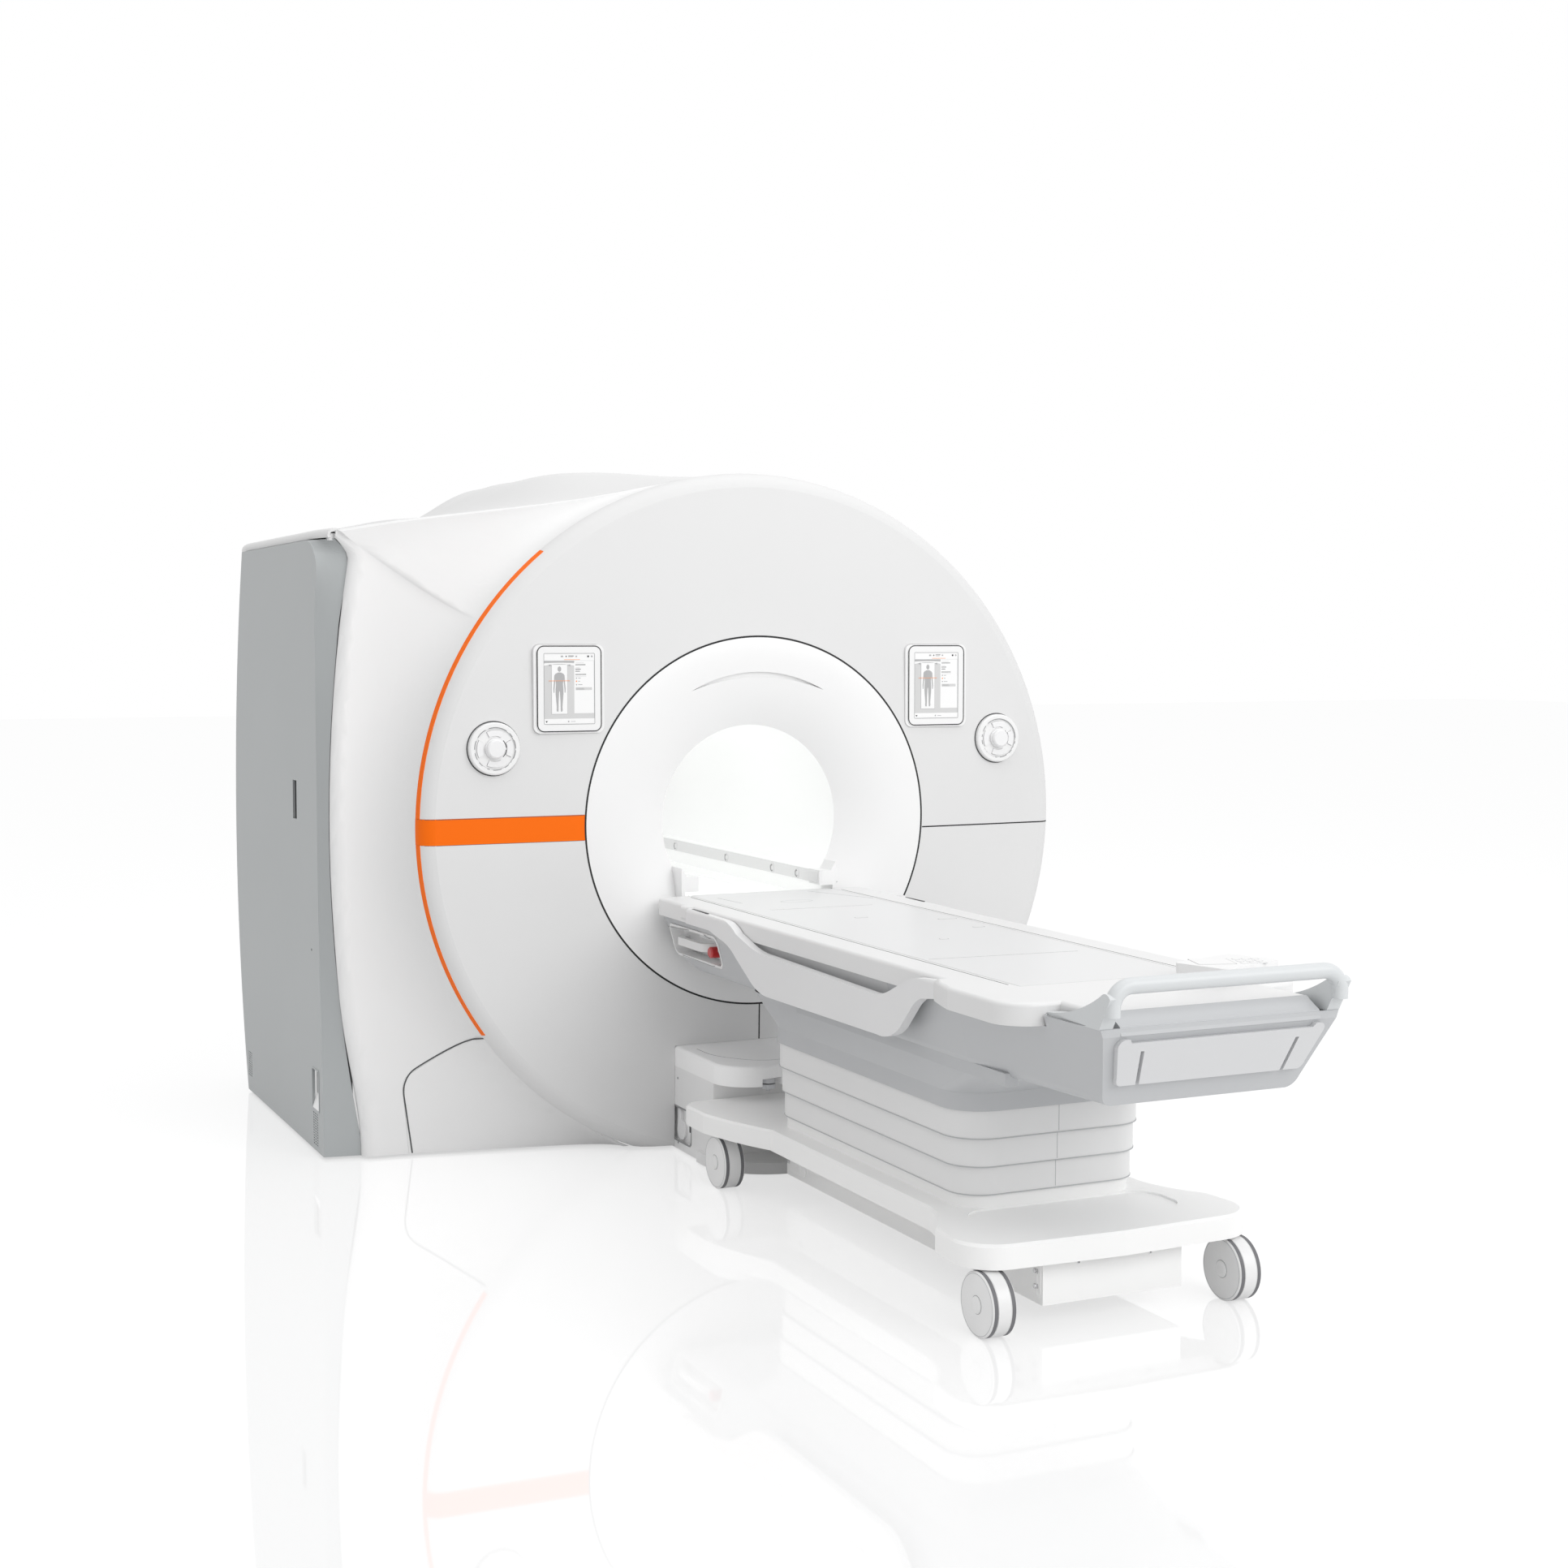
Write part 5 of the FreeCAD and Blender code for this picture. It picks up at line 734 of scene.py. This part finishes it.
def make_display(name, centre):
    """A plain operating page: a table seen from above with a figure on it, and bars for text."""
    left, low = centre - SCREEN_SIZE[0] / 2, DISPLAY_Z - SCREEN_SIZE[1] / 2
    glass = box_of("screens")[0].y
    page = Piece(name, "gantry", "glass_screen")

    def plate(outline, layer, paint):
        shifted = [(left + a, low + b) for a, b in outline]
        page.add(paint, prism("y", shifted, glass - layer * LAYER, glass + LAYER_SUNK))

    for x0, x1, z0, z1, layer, paint in SCREEN_PLATES:
        plate([(x0, z0), (x1, z0), (x1, z1), (x0, z1)], layer, paint)
    lower, upper = ([(PICTURE_WIDTH * i / PICTURE_STEPS, up + rise * math.sin(math.pi * i / PICTURE_STEPS))
                     for i in range(PICTURE_STEPS + 1)] for up, rise in BORE_EDGES)
    plate(lower + upper[::-1], 4, "ui_white")
    for *corners, layer, paint in SCREEN_WEDGES:
        plate(corners, layer, paint)
    half = [(FEET[0] + a, FEET[1] + b) for a, b in FIGURE]
    other = [(FEET[0] - a, FEET[1] + b) for a, b in FIGURE[-2:0:-1]]
    plate(half + other, 4, "ui_figure")
    head = [(FEET[0] + HEAD_SIZE[0] * a, HEAD_Z + HEAD_SIZE[1] * b) for a, b in circle((0, 0), 1, 24)]
    plate(head, 4, "ui_figure")
    for across, up, radius, paint in SCREEN_DOTS:
        plate(circle((across, up), radius, 16), 3, paint)
    page.done()


def make_displays():
    """Both pages, and the dark lines round their bezels and screens."""
    face = box_of("display_frames")[0].y
    rims = Piece("display_outlines", "gantry", "tyre_grey")
    for side, name in zip(LEFT_RIGHT, SIDE_NAMES):
        x = side * DISPLAY_X
        make_display("screen_page_" + name, x)
        for wide, high, *rim, paint, proud in (BEZEL_RIM, SCREEN_RIM):
            loops = rim_loops(x - wide, x + wide, DISPLAY_Z - high, DISPLAY_Z + high, *rim)
            rims.add(paint, frame_ring("y", *loops, face - proud, face + RIM_SUNK))
    rims.done()


CONTROL_X = 866
CONTROL_Z = 1265
# Radius and width of the dark line in the gap round each pad, which is painted shade, and of the groove on
# the pad.
CONTROL_EDGE = (80.8, 4.2)
CONTROL_GROOVE = (63.5, 2.6)
TURN_MARK = (35.4, 2.4)
TURN_STARTS_DEG = (-44, 4)
TURN_SWEEP_DEG = 38
BUTTON_RING = 50.5
BUTTON_SPOT = 1.8
SPOT_PROUD, SPOT_SUNK = 0.35, 0.2


def make_controls():
    """The rims, grooves and turn marks of the two round control pads, and a spot on each button. The dark rim
    line in the gap round each pad is painted shade.
    """
    pads = trees("control_rings")
    centres = [(side * CONTROL_X, CONTROL_Z) for side in LEFT_RIGHT]
    lines = Piece("control_lines", "gantry", "tyre_grey")
    for centre in centres:
        for surface, (radius, width), paint in ((trees("front_cover_upper"), CONTROL_EDGE, "seam_grey"),
                                                (pads, CONTROL_GROOVE, "line_grey")):
            lines.add(paint, drape(surface, arc(centre, radius, 0, 360), INTO_BORE, width))
    lines.done()
    face = box_of("control_rings")[0].y
    for centre, name in zip(centres, SIDE_NAMES):
        marks = Piece("turn_marks_" + name, "gantry", "tyre_grey")
        radius, width = TURN_MARK
        for start in TURN_STARTS_DEG:
            line = arc(centre, radius, start, TURN_SWEEP_DEG, 16)
            marks.add("seam_grey", drape(pads, line, INTO_BORE, width, gap=3))
        marks.done()
        spots = Piece("button_marks_" + name, "gantry", "cover_white")
        for spot in circle(centre, BUTTON_RING, 4):
            spots.add("ui_white", disc("y", spot, BUTTON_SPOT, face - SPOT_PROUD, face + SPOT_SUNK, 16))
        spots.done()


# -------------------- in the bore

SOCKET_PLACES = (162, 356, 740, 1212)
SOCKET_Z = 829
# A socket's collar, as (along, radius) from the rail's face.
COLLAR = ((-2.4, 12.4), (-2.4, 16.2), (5.0, 18.0), (5.0, 11.4))
PLUG_RADIUS = 8.4
HEAD_PLATE = ((4, 118), (814, 849), 5)


def make_socket_rims():
    """White round sockets with their grey ring lines, along the rail in the bore."""
    rims = Piece("socket_rims", "gantry", "cover_white")
    face = box_of("socket_rail")[0].x
    collar = [(face + along, radius) for along, radius in COLLAR]
    for place in SOCKET_PLACES:
        centre = (depth(place), SOCKET_Z)
        rims.add("rail_white", lathe("x", centre, collar, 40))
        rims.add("line_grey", annulus("x", centre, PLUG_RADIUS, PLUG_RADIUS + 1.4, face + 0.4, face + 4.0,
                                      sides=32))
        rims.add("rail_white", disc("x", centre, PLUG_RADIUS, face - 0.6, face + 5.0, 32, 0.8))
    (near, far), (bottom, top), radius = HEAD_PLATE
    plate = rounded(depth(near), depth(far), bottom, top, radius)
    rims.add("rail_white", prism("x", plate, face - 2.0, face + 1.0, 0.8))
    rims.done()


HOOK_X, HOOK_Z, HOOK_DEPTH = (283, 315), (776, 809), 39
HOOK_BEND = 5
HOOK_WIRE = 1.7


def make_wire_hook():
    """The bent wire stop beside the table's head end."""
    hook = Piece("wire_hook", "gantry", "steel")
    (x0, x1), (z0, z1), y = HOOK_X, HOOK_Z, depth(HOOK_DEPTH)
    hook.add("screw_steel", tube(smooth_path([(x0, y, z0), (x0, y, z1), (x1, y, z1), (x1, y, z0)], HOOK_BEND),
                                 HOOK_WIRE))
    hook.done()


# -------------------- the side housing and the grey panel

SKIN_WELD = 0.00002
SKIN_CREASE_DEG = 55.0


def smooth_copy(name, replaced, crease_deg):
    """A copy of a piece of the frame whose faces are joined, so that its curves shade as one skin."""
    thing = bpy.data.objects.new(name, nodes[replaced].data.copy())
    bpy.context.scene.collection.objects.link(thing)
    shell = bmesh.new()
    shell.from_mesh(thing.data)
    bmesh.ops.remove_doubles(shell, verts=shell.verts, dist=SKIN_WELD)
    shell.to_mesh(thing.data)
    shell.free()
    if "custom_normal" in thing.data.attributes:
        thing.data.attributes.remove(thing.data.attributes["custom_normal"])
    shade(thing.data, crease_deg)
    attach(thing, nodes[replaced]["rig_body"])
    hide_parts(replaced)
    return thing


PANEL_FACE = -1319.0
PANEL_CREASE_DEG = 12.0
# The recesses of the grey panel: depth from and to, height from and to, and how deep they are.
GRIP_SLOT = (628, 680, 1024, 1146, 10)
PULL = (372, 458, 138, 262, 14)
LEDGE_RISE = 46
# The vents: depth of the first slit, its length, height of the lowest row, and rows.
VENTS = ((390, 16, 26, 13), (1394, 14, 62, 11))
VENT_COLUMNS = 3
VENT_STEP = 8
VENT_HIGH = 3.4
VENT_DEEP = 4
DOT_PLACE = (446, 632)
DOT_RADIUS = 4.0


def panel_opening(low, high, bottom, top, deep):
    return block((PANEL_FACE - 2, depth(low), bottom), (PANEL_FACE + deep, depth(high), top))


def panel_cutter():
    """Everything that is taken out of the grey panel, as one plain object."""
    tool = Piece("panel_tool", "gantry", "cover_grey")
    tool.add("panel_grey", panel_opening(*GRIP_SLOT), panel_opening(*PULL))
    for first, length, bottom, rows in VENTS:
        for column in range(VENT_COLUMNS):
            low = first + length * 1.5 * column
            for row in range(rows):
                up = bottom + VENT_STEP * row
                tool.add("panel_grey", panel_opening(low, low + length, up, up + VENT_HIGH, VENT_DEEP))
    return tool.bare()


def make_service_panel():
    """The grey panel with its slot, recessed pull and vents cut into it."""
    panel = smooth_copy("service_panel_vented", "service_panel", PANEL_CREASE_DEG)
    cutter = panel_cutter()
    cut_out = panel.modifiers.new("cut", "BOOLEAN")
    cut_out.operation, cut_out.solver, cut_out.object = "DIFFERENCE", "EXACT", cutter
    bpy.context.view_layer.update()
    made = bpy.data.meshes.new_from_object(panel.evaluated_get(bpy.context.evaluated_depsgraph_get()))
    panel.modifiers.clear()
    panel.data = made
    bpy.data.objects.remove(cutter)
    made.materials.clear()
    made.materials.append(PAINT["panel_grey"])
    for face in made.polygons:
        face.material_index = 0
    shade(made, PANEL_CREASE_DEG)


def make_panel_pull():
    """The raised rim of the recessed pull, its sloping ledge painted white with a glow as a painted
    highlight, and its back in a glowing grey as painted light.
    """
    low, high, bottom, top, deep = PULL
    back = PANEL_FACE + deep
    pull = Piece("panel_pull", "gantry", "cover_grey")
    loops = rim_loops(depth(low - 4), depth(high + 4), bottom - 4, top + 4, 5, 8, 5)
    pull.add("panel_grey", frame_ring("x", *loops, PANEL_FACE - 1.6, PANEL_FACE + 1.0))
    ledge = [(back - 0.5, bottom + 1), (PANEL_FACE - 1.0, bottom + 1), (back - 0.5, bottom + LEDGE_RISE)]
    # The ledge's white and glow are a painted highlight on the lower lip; the back's glow is painted light in
    # the recess.
    pull.add("cap_white_lit", prism("y", ledge, depth(low + 1), depth(high - 1)))
    pull.add("strip_grey_lit", block((back - 1.0, depth(low), bottom), (back + 1.0, depth(high), top)))
    pull.done()


def make_panel_details():
    """A dark sheet behind the vents as painted shade, and the small dark dot of a lock."""
    vent_shade = Piece("panel_vent_shade", "gantry", "cover_grey")
    for first, length, bottom, rows in VENTS:
        low, high = depth(first - 8), depth(first + 4 * length + 4)
        vent_shade.add("gap_black", block((PANEL_FACE + VENT_DEEP + 0.1, low, bottom - 6),
                                      (PANEL_FACE + VENT_DEEP + 1, high, bottom + VENT_STEP * rows)))
    vent_shade.done()
    dot = Piece("panel_dot", "gantry", "tyre_grey")
    along, up = DOT_PLACE
    dot.add("gap_black", disc("x", (depth(along), up), DOT_RADIUS, PANEL_FACE - 0.4, PANEL_FACE + 1.0, 16))
    dot.done()


# Two corners of the fill, by x, y and z.
SHOULDER_FILL = ((-1280, -592, 1888), (-1238, -556, 1909))


def make_housing():
    """The side housing and the roof as smooth skins, and the corner behind their joint."""
    smooth_copy("side_skin", "side_cover_left", SKIN_CREASE_DEG)
    smooth_copy("roof_skin", "top_cover", SKIN_CREASE_DEG)
    fill = Piece("shoulder_fill", "gantry", "cover_white")
    fill.add("cover_white", block(*SHOULDER_FILL))
    fill.done()


# -------------------- the docking station

DOCK_SIDE = -286.0
# The cap's inset line, as (across, reach), and the short line on its front, as (across, up).
CAP_INSET = ((-244, 70), (-244, 196), (-150, 330), (150, 330), (244, 196), (244, 70))
CAP_CORNER = 60
CAP_FRONT = ((-60, 292), (60, 292))
# The recess of the lever and the small slot in it: reach from and to, and height from and to.
RECESS = (126, -37, 28, 140)
RECESS_SLOT = (118, 110, 74, 104)
DOCK_SCREWS = ((17, 227), (19, 25))


def make_dock():
    """The lines on the station's cap, the rim of the lever's recess, and two screws in its side."""
    cap = trees("dock_cap")
    plate = Piece("cap_plate_edge", "gantry", "tyre_grey")
    plate.add("line_grey", drape(cap, smooth_path(above(CAP_INSET), CAP_CORNER), DOWN, 2.2))
    plate.add("line_grey", drape(cap, in_front(CAP_FRONT, BEFORE_CAP_Y), INTO_BORE, 1.6))
    plate.done()
    rim = Piece("lever_recess_rim", "gantry", "cover_white")
    far, near, bottom, top = RECESS
    loops = rim_loops(reach(far), reach(near), bottom, top, 5, 22, 18)
    rim.add("line_grey", frame_ring("x", *loops, DOCK_SIDE - 0.8, DOCK_SIDE + 1.0))
    far, near, bottom, top = RECESS_SLOT
    slot = rounded(reach(far), reach(near), bottom, top, 3.8)
    rim.add("seam_grey", prism("x", slot, DOCK_SIDE - 0.6, DOCK_SIDE + 1.0))
    rim.done()
    screws = Piece("dock_screws", "gantry", "steel")
    for along, up in DOCK_SCREWS:
        centre = (reach(along), up)
        screws.add("screw_steel", disc("x", centre, 4.2, DOCK_SIDE - 1.0, DOCK_SIDE + 1.0, 20))
        screws.add("gap_black", disc("x", centre, 2.0, DOCK_SIDE - 1.2, DOCK_SIDE, 6))
    screws.done()


# -------------------- the table's base and lift

BOX_HALF = 193.0
BOX_ENDS = (reach(2013), reach(620))
BRACKET_ALONG = (6, 128)
BRACKET_Z = (64, 154)
BRACKET_CORNER = 14
BRACKET_THICK = 3.0
# Bolts of a bracket, from its end of the box and up, and screws in the box's end, across and up.
BRACKET_BOLTS = ((24, 92), (24, 128), (104, 128))
BOLT_ACROSS = 12
END_SCREWS = ((-96, 142), (104, 142))


def hex_bolt(axis, centre, across, face, way):
    """A bolt head on its washer, standing out of a face one way."""
    return (disc(axis, centre, across * 0.72, face - way * 0.5, face + way * 1.6, 28, 0.3),
            prism(axis, circle(centre, across / 2, 6), face, face + way * 6.5, 0.6))


def make_brackets():
    """Bolted plates on the sides of the under-box, and the small screws in its end."""
    plates = Piece("box_brackets", "table_base", "steel")
    for side in LEFT_RIGHT:
        face = side * BOX_HALF
        outside = face + BRACKET_THICK * side
        for end, inward in zip(BOX_ENDS, (1, -1)):
            near, far = sorted(end + inward * step for step in BRACKET_ALONG)
            outline = rounded(near, far, *BRACKET_Z, BRACKET_CORNER)
            # The plates share the slab's white, whose glow is painted light.
            plates.add("slab_white_lit", prism("x", outline, face - 0.5 * side, outside, 0.8))
            for step, up in BRACKET_BOLTS:
                centre = (end + inward * step, up)
                plates.add("screw_steel", *hex_bolt("x", centre, BOLT_ACROSS, outside, side))
    for centre in END_SCREWS:
        plates.add("screw_steel", disc("y", centre, 4.4, BOX_ENDS[0] - 1.2, BOX_ENDS[0] + 0.5, 20, 0.3))
        plates.add("gap_black", disc("y", centre, 2.0, BOX_ENDS[0] - 1.4, BOX_ENDS[0], 6))
    plates.done()


TYRE_WIDTH = 15.0
TYRE_DEEP = 6.0
DRUM_DEEP = 8.0
DRUM_PROUD = 0.08
# A hub's dome, as (out of the wheel's face, radius), and the lines on the face, as (radii, finish, sides).
HUB_DOME = ((-1.0, 0.01), (-1.0, 20.5), (1.6, 20.0), (3.2, 16.0), (4.0, 9.0), (4.2, 0.01))
WHEEL_LINES = (((20.6, 21.6), "line_grey", 48), ((70.4, 71.6), "faint_line", 64))


def make_wheels():
    """Dark tyres, domed hubs and rim lines on the casters, and the white drum between each pair."""
    for number in CASTERS:
        name = "caster_wheel_%d" % number
        low, high = box_of(name)
        centre = ((low.y + high.y) / 2, (low.z + high.z) / 2)
        radius = (high.z - low.z) / 2

        def tread(spot, normal):
            away = math.hypot(spot.y - centre[0], spot.z - centre[1])
            return abs(normal.x) < 0.5 and away > radius - TYRE_DEEP

        paint_faces(name, "tyre_grey", tread)
        hub = Piece("hub_cap_%d" % number, name, "cover_white")
        for face, way in ((low.x, -1), (high.x, 1)):
            dome = [(face + way * out, away) for out, away in HUB_DOME]
            hub.add("wheel_white", lathe("x", centre, dome))
            for radii, paint, sides in WHEEL_LINES:
                hub.add(paint, annulus("x", centre, *radii, face - way * 0.5, face + way * 0.3, sides))
        hub.add("wheel_white", annulus("x", centre, radius - DRUM_DEEP, radius + DRUM_PROUD,
                                       low.x + TYRE_WIDTH, high.x - TYRE_WIDTH))
        hub.done()


TIER_STEP = 7.0
# The painted shade under a sleeve's lip, as a thin dark ring: in from the lip and corner radius, outside and
# inside.
TIER_LIP_SHADE = ((2.4, 98), (7.6, 92))
TIER_SEAM_Z = (68, 3)


def make_tier_seams():
    """A thin dark ring of painted shade under each sleeve's lip, and the upright seam at its foot end."""
    for order, name in enumerate(("tier_1", "tier_2", "tier_3")):
        low, high = box_of(name)
        loops = [rounded(low.x + inset, high.x - inset, low.y + inset, high.y - inset,
                         corner - TIER_STEP * order, 12) for inset, corner in TIER_LIP_SHADE]
        seam = Piece(name + "_lip_shade", name, "tyre_grey")
        seam.add("faint_line", frame_ring("z", *loops, low.z - 2.2, low.z + 0.4))
        upright = in_front([(0, low.z + up) for up in TIER_SEAM_Z], BEYOND_FOOT_Y)
        seam.add("faint_line", drape(trees(name), upright, INTO_BORE, 1.8))
        seam.done()


# -------------------- the table top

TABLE_Z = box_of("board")[1].z
BOARD_EDGE = box_of("board")[1].x + 2
# Guide marks on the board, as (across, reach): thin lines, a bar, an oval, and small plates by their
# left and right edge and reach.
BOARD_LINES = (((-192, 113), (-178, 270)), ((-230, 1528), (186, 1559)), ((142, 57), (241, 317)))
BOARD_BAR = ((-165, 447), (163, 457))
BAR_LAYERS = (("line_grey", 15.0, 0.10), ("guard_white", 11.0, 0.35))
BOARD_OVAL = ((-5, 286), (52, 26))
BOARD_PLATES = ((-24, 12, 720), (177, 231, 848), (180, 211, 1040), (-23, -1, 1215))
PLATE_LAYERS = (("line_grey", 2, 5, 0.15), ("guard_white", 0, 3.5, 0.4))
PLATE_HALF = 6
MARK_SUNK = 0.5


def make_board_marks():
    """The guide marks on the moving board."""
    top = trees("board")
    marks = Piece("board_marks", "board", "tyre_grey")
    for line in BOARD_LINES:
        marks.add("line_grey", drape(top, above(line), DOWN, 2.0, proud=0.15, gap=60))
    for paint, width, proud in BAR_LAYERS:
        marks.add(paint, drape(top, above(BOARD_BAR), DOWN, width, proud=proud, gap=60))
    (across, along), (half_x, half_y) = BOARD_OVAL
    oval = [(across + half_x * math.cos(math.radians(t)), along - half_y * math.sin(math.radians(t)))
            for t in range(0, 361, 10)]
    marks.add("faint_line", drape(top, above(oval), DOWN, 2.0, proud=0.15))
    for x0, x1, along in BOARD_PLATES:
        for paint, wider, corner, proud in PLATE_LAYERS:
            half = PLATE_HALF + wider
            outline = rounded(x0 - wider, x1 + wider, reach(along) - half, reach(along) + half, corner)
            marks.add(paint, prism("z", outline, TABLE_Z - MARK_SUNK, TABLE_Z + proud))
    marks.done()


# Reach from and to of the gap round the board and of the lines beside it.
GAP_REACH = (12, 1990)
GAP_HALF = 1.2
GAP_DEEP = 8
END_GAP = (1990.6, 1991.6)
SIDE_LINE = (60, 1960)
SIDE_LINE_OUT = 12


def make_board_grooves():
    """The dark gap round the board, and the groove beside it in the table top."""
    surfaces = trees("tabletop_frame", "board")
    grooves = Piece("board_grooves", "table_top", "tyre_grey")
    low = TABLE_Z - GAP_DEEP
    for side in LEFT_RIGHT:
        x = side * (BOARD_EDGE + SIDE_LINE_OUT)
        line = above([(x, along) for along in SIDE_LINE])
        grooves.add("seam_grey", drape(surfaces, line, DOWN, 3.2, proud=0.15, gap=80))
        x = side * BOARD_EDGE
        grooves.add("seam_grey", block((x - GAP_HALF, reach(GAP_REACH[1]), low),
                                       (x + GAP_HALF, reach(GAP_REACH[0]), TABLE_Z - 0.4)))
    grooves.add("seam_grey", block((-BOARD_EDGE, reach(END_GAP[1]), low),
                                   (BOARD_EDGE, reach(END_GAP[0]), TABLE_Z - 2)))
    grooves.done()


# -------------------- the hull

STRIP_LINE = ((290, 724), (1500, 724))
STRIP_WIDTH = 38
# The closed underside behind the hull's lower edge: across from and to, reach from and to, heights.
KEEL = ((262, 296), (900, 2010), (571, 601))
# Outlines as (reach, up): of each handle's pocket, and of the seam between fin and hull.
POCKET_EDGE = ((25, 707), (305, 722), (388, 707), (422, 670), (410, 637), (340, 622), (121, 626), (40, 626))
POCKET_CORNER = 18
FIN_SEAM = ((2165, 800), (2215, 772), (2440, 770))
FIN_CORNER = 20
HULL_LINE_WIDTH = 1.8


def make_strips():
    """The hull's inset grey strip under the table's white margin; its grey glows as painted light where the
    margin shades it.
    """
    strips = Piece("hull_strips", "table_top", "cover_grey")
    for side, way in WAY_FROM:
        strips.add("strip_grey_lit", drape(trees("hull"), beside(side, STRIP_LINE), way, STRIP_WIDTH,
                                       proud=0.4, gap=40))
    strips.done()


def make_keel():
    """The hull's closed underside, seen along its lower edges."""
    keel = Piece("hull_keel", "table_top", "cover_grey")
    across, along, up = KEEL
    for side in LEFT_RIGHT:
        x0, x1 = sorted(side * x for x in across)
        keel.add("hull_grey", block((x0, reach(along[1]), up[0]), (x1, reach(along[0]), up[1])))
    keel.done()


def make_pockets():
    """The outline where each handle's pan sits in the hull."""
    skin = trees("hull", "pull_handles")
    edge = Piece("pocket_edges", "table_top", "tyre_grey")
    for side, way in WAY_FROM:
        corners = [Vector(spot) for spot in beside(side, POCKET_EDGE)]
        start = (corners[0] + corners[-1]) / 2
        line = smooth_path([start, *corners, start], POCKET_CORNER)
        edge.add("line_grey", drape(skin, line, way, HULL_LINE_WIDTH, gap=10))
    edge.done()


# The lock window in a rail's top: half width, reach from and to, corner, depth and height over the top.
LOCK = (3.4, (312, 430), 3.2, 2.0, 0.25)


def make_rail_locks():
    """The small dark lock windows on top of the side rails."""
    half, (near, far), corner, sunk, proud = LOCK
    for name in SIDE_NAMES:
        low, high = box_of("side_rail_" + name)
        x = (low.x + high.x) / 2
        lock = Piece("rail_lock_" + name, "side_rail_" + name, "tyre_grey")
        outline = rounded(x - half, x + half, reach(far), reach(near), corner)
        lock.add("seam_grey", prism("z", outline, high.z - sunk, high.z + proud))
        lock.done()


def make_foot_gaskets():
    """The seam where each fin of the push bar meets the hull."""
    skin = trees("hull", "handlebar", "end_panel")
    lines = Piece("foot_gaskets", "table_top", "tyre_grey")
    for side, way in WAY_FROM:
        seam = smooth_path(beside(side, FIN_SEAM), FIN_CORNER)
        lines.add("line_grey", drape(skin, seam, way, HULL_LINE_WIDTH, gap=12))
    lines.done()


# -------------------- the handheld keypad

PAD_TURN_DEG = 18.0
# Outlines from the pad's middle: its plain display, then three by three keys.
PAD_DISPLAY = (-84, 10, -46, 46)
PAD_DISPLAY_CORNER = 8
KEY_FIRST = (30, -30)
KEY_PITCH = (23, 30)
KEY_HALF = (9, 11)
KEY_CORNER = 5
KEY_LINE = 1.6
KEY_SUNK = 0.6


def make_pad():
    """The outlines of a plain display and of nine soft keys."""
    low, high = box_of("remote_pad")
    centre = (low + high) / 2
    turn = Matrix.Rotation(math.radians(-PAD_TURN_DEG), 3, "Z")
    keys = Piece("pad_keys", "table_top", "cover_grey")

    def laid(outline, rise):
        spots = [(centre + turn @ Vector((a, b, 0)))[:2] for a, b in outline]
        return prism("z", spots, high.z - KEY_SUNK, high.z + rise)

    def key(x0, x1, y0, y1, corner, paint):
        line = KEY_LINE
        keys.add(paint, laid(rounded(x0, x1, y0, y1, corner), 0.20))
        keys.add("pad_white", laid(rounded(x0 + line, x1 - line, y0 + line, y1 - line, corner - 1.4), 0.40))

    key(*PAD_DISPLAY, PAD_DISPLAY_CORNER, "line_grey")
    for column in range(3):
        for row in range(3):
            x, y = KEY_FIRST[0] + column * KEY_PITCH[0], KEY_FIRST[1] + row * KEY_PITCH[1]
            key(x - KEY_HALF[0], x + KEY_HALF[0], y - KEY_HALF[1], y + KEY_HALF[1], KEY_CORNER, "faint_line")
    keys.done()


# -------------------- the whole scene

make_camera()
make_world()
make_floor()
for lamp in LAMPS:
    make_lamp(*lamp)
dress_nodes()
for make in (make_seams, make_displays, make_controls, make_socket_rims, make_wire_hook, make_service_panel,
             make_panel_pull, make_panel_details, make_housing, make_dock, make_brackets, make_wheels,
             make_tier_seams, make_board_marks, make_board_grooves, make_strips, make_keel, make_pockets,
             make_rail_locks, make_foot_gaskets, make_pad):
    make()
bpy.context.scene.view_settings.view_transform = "Standard"
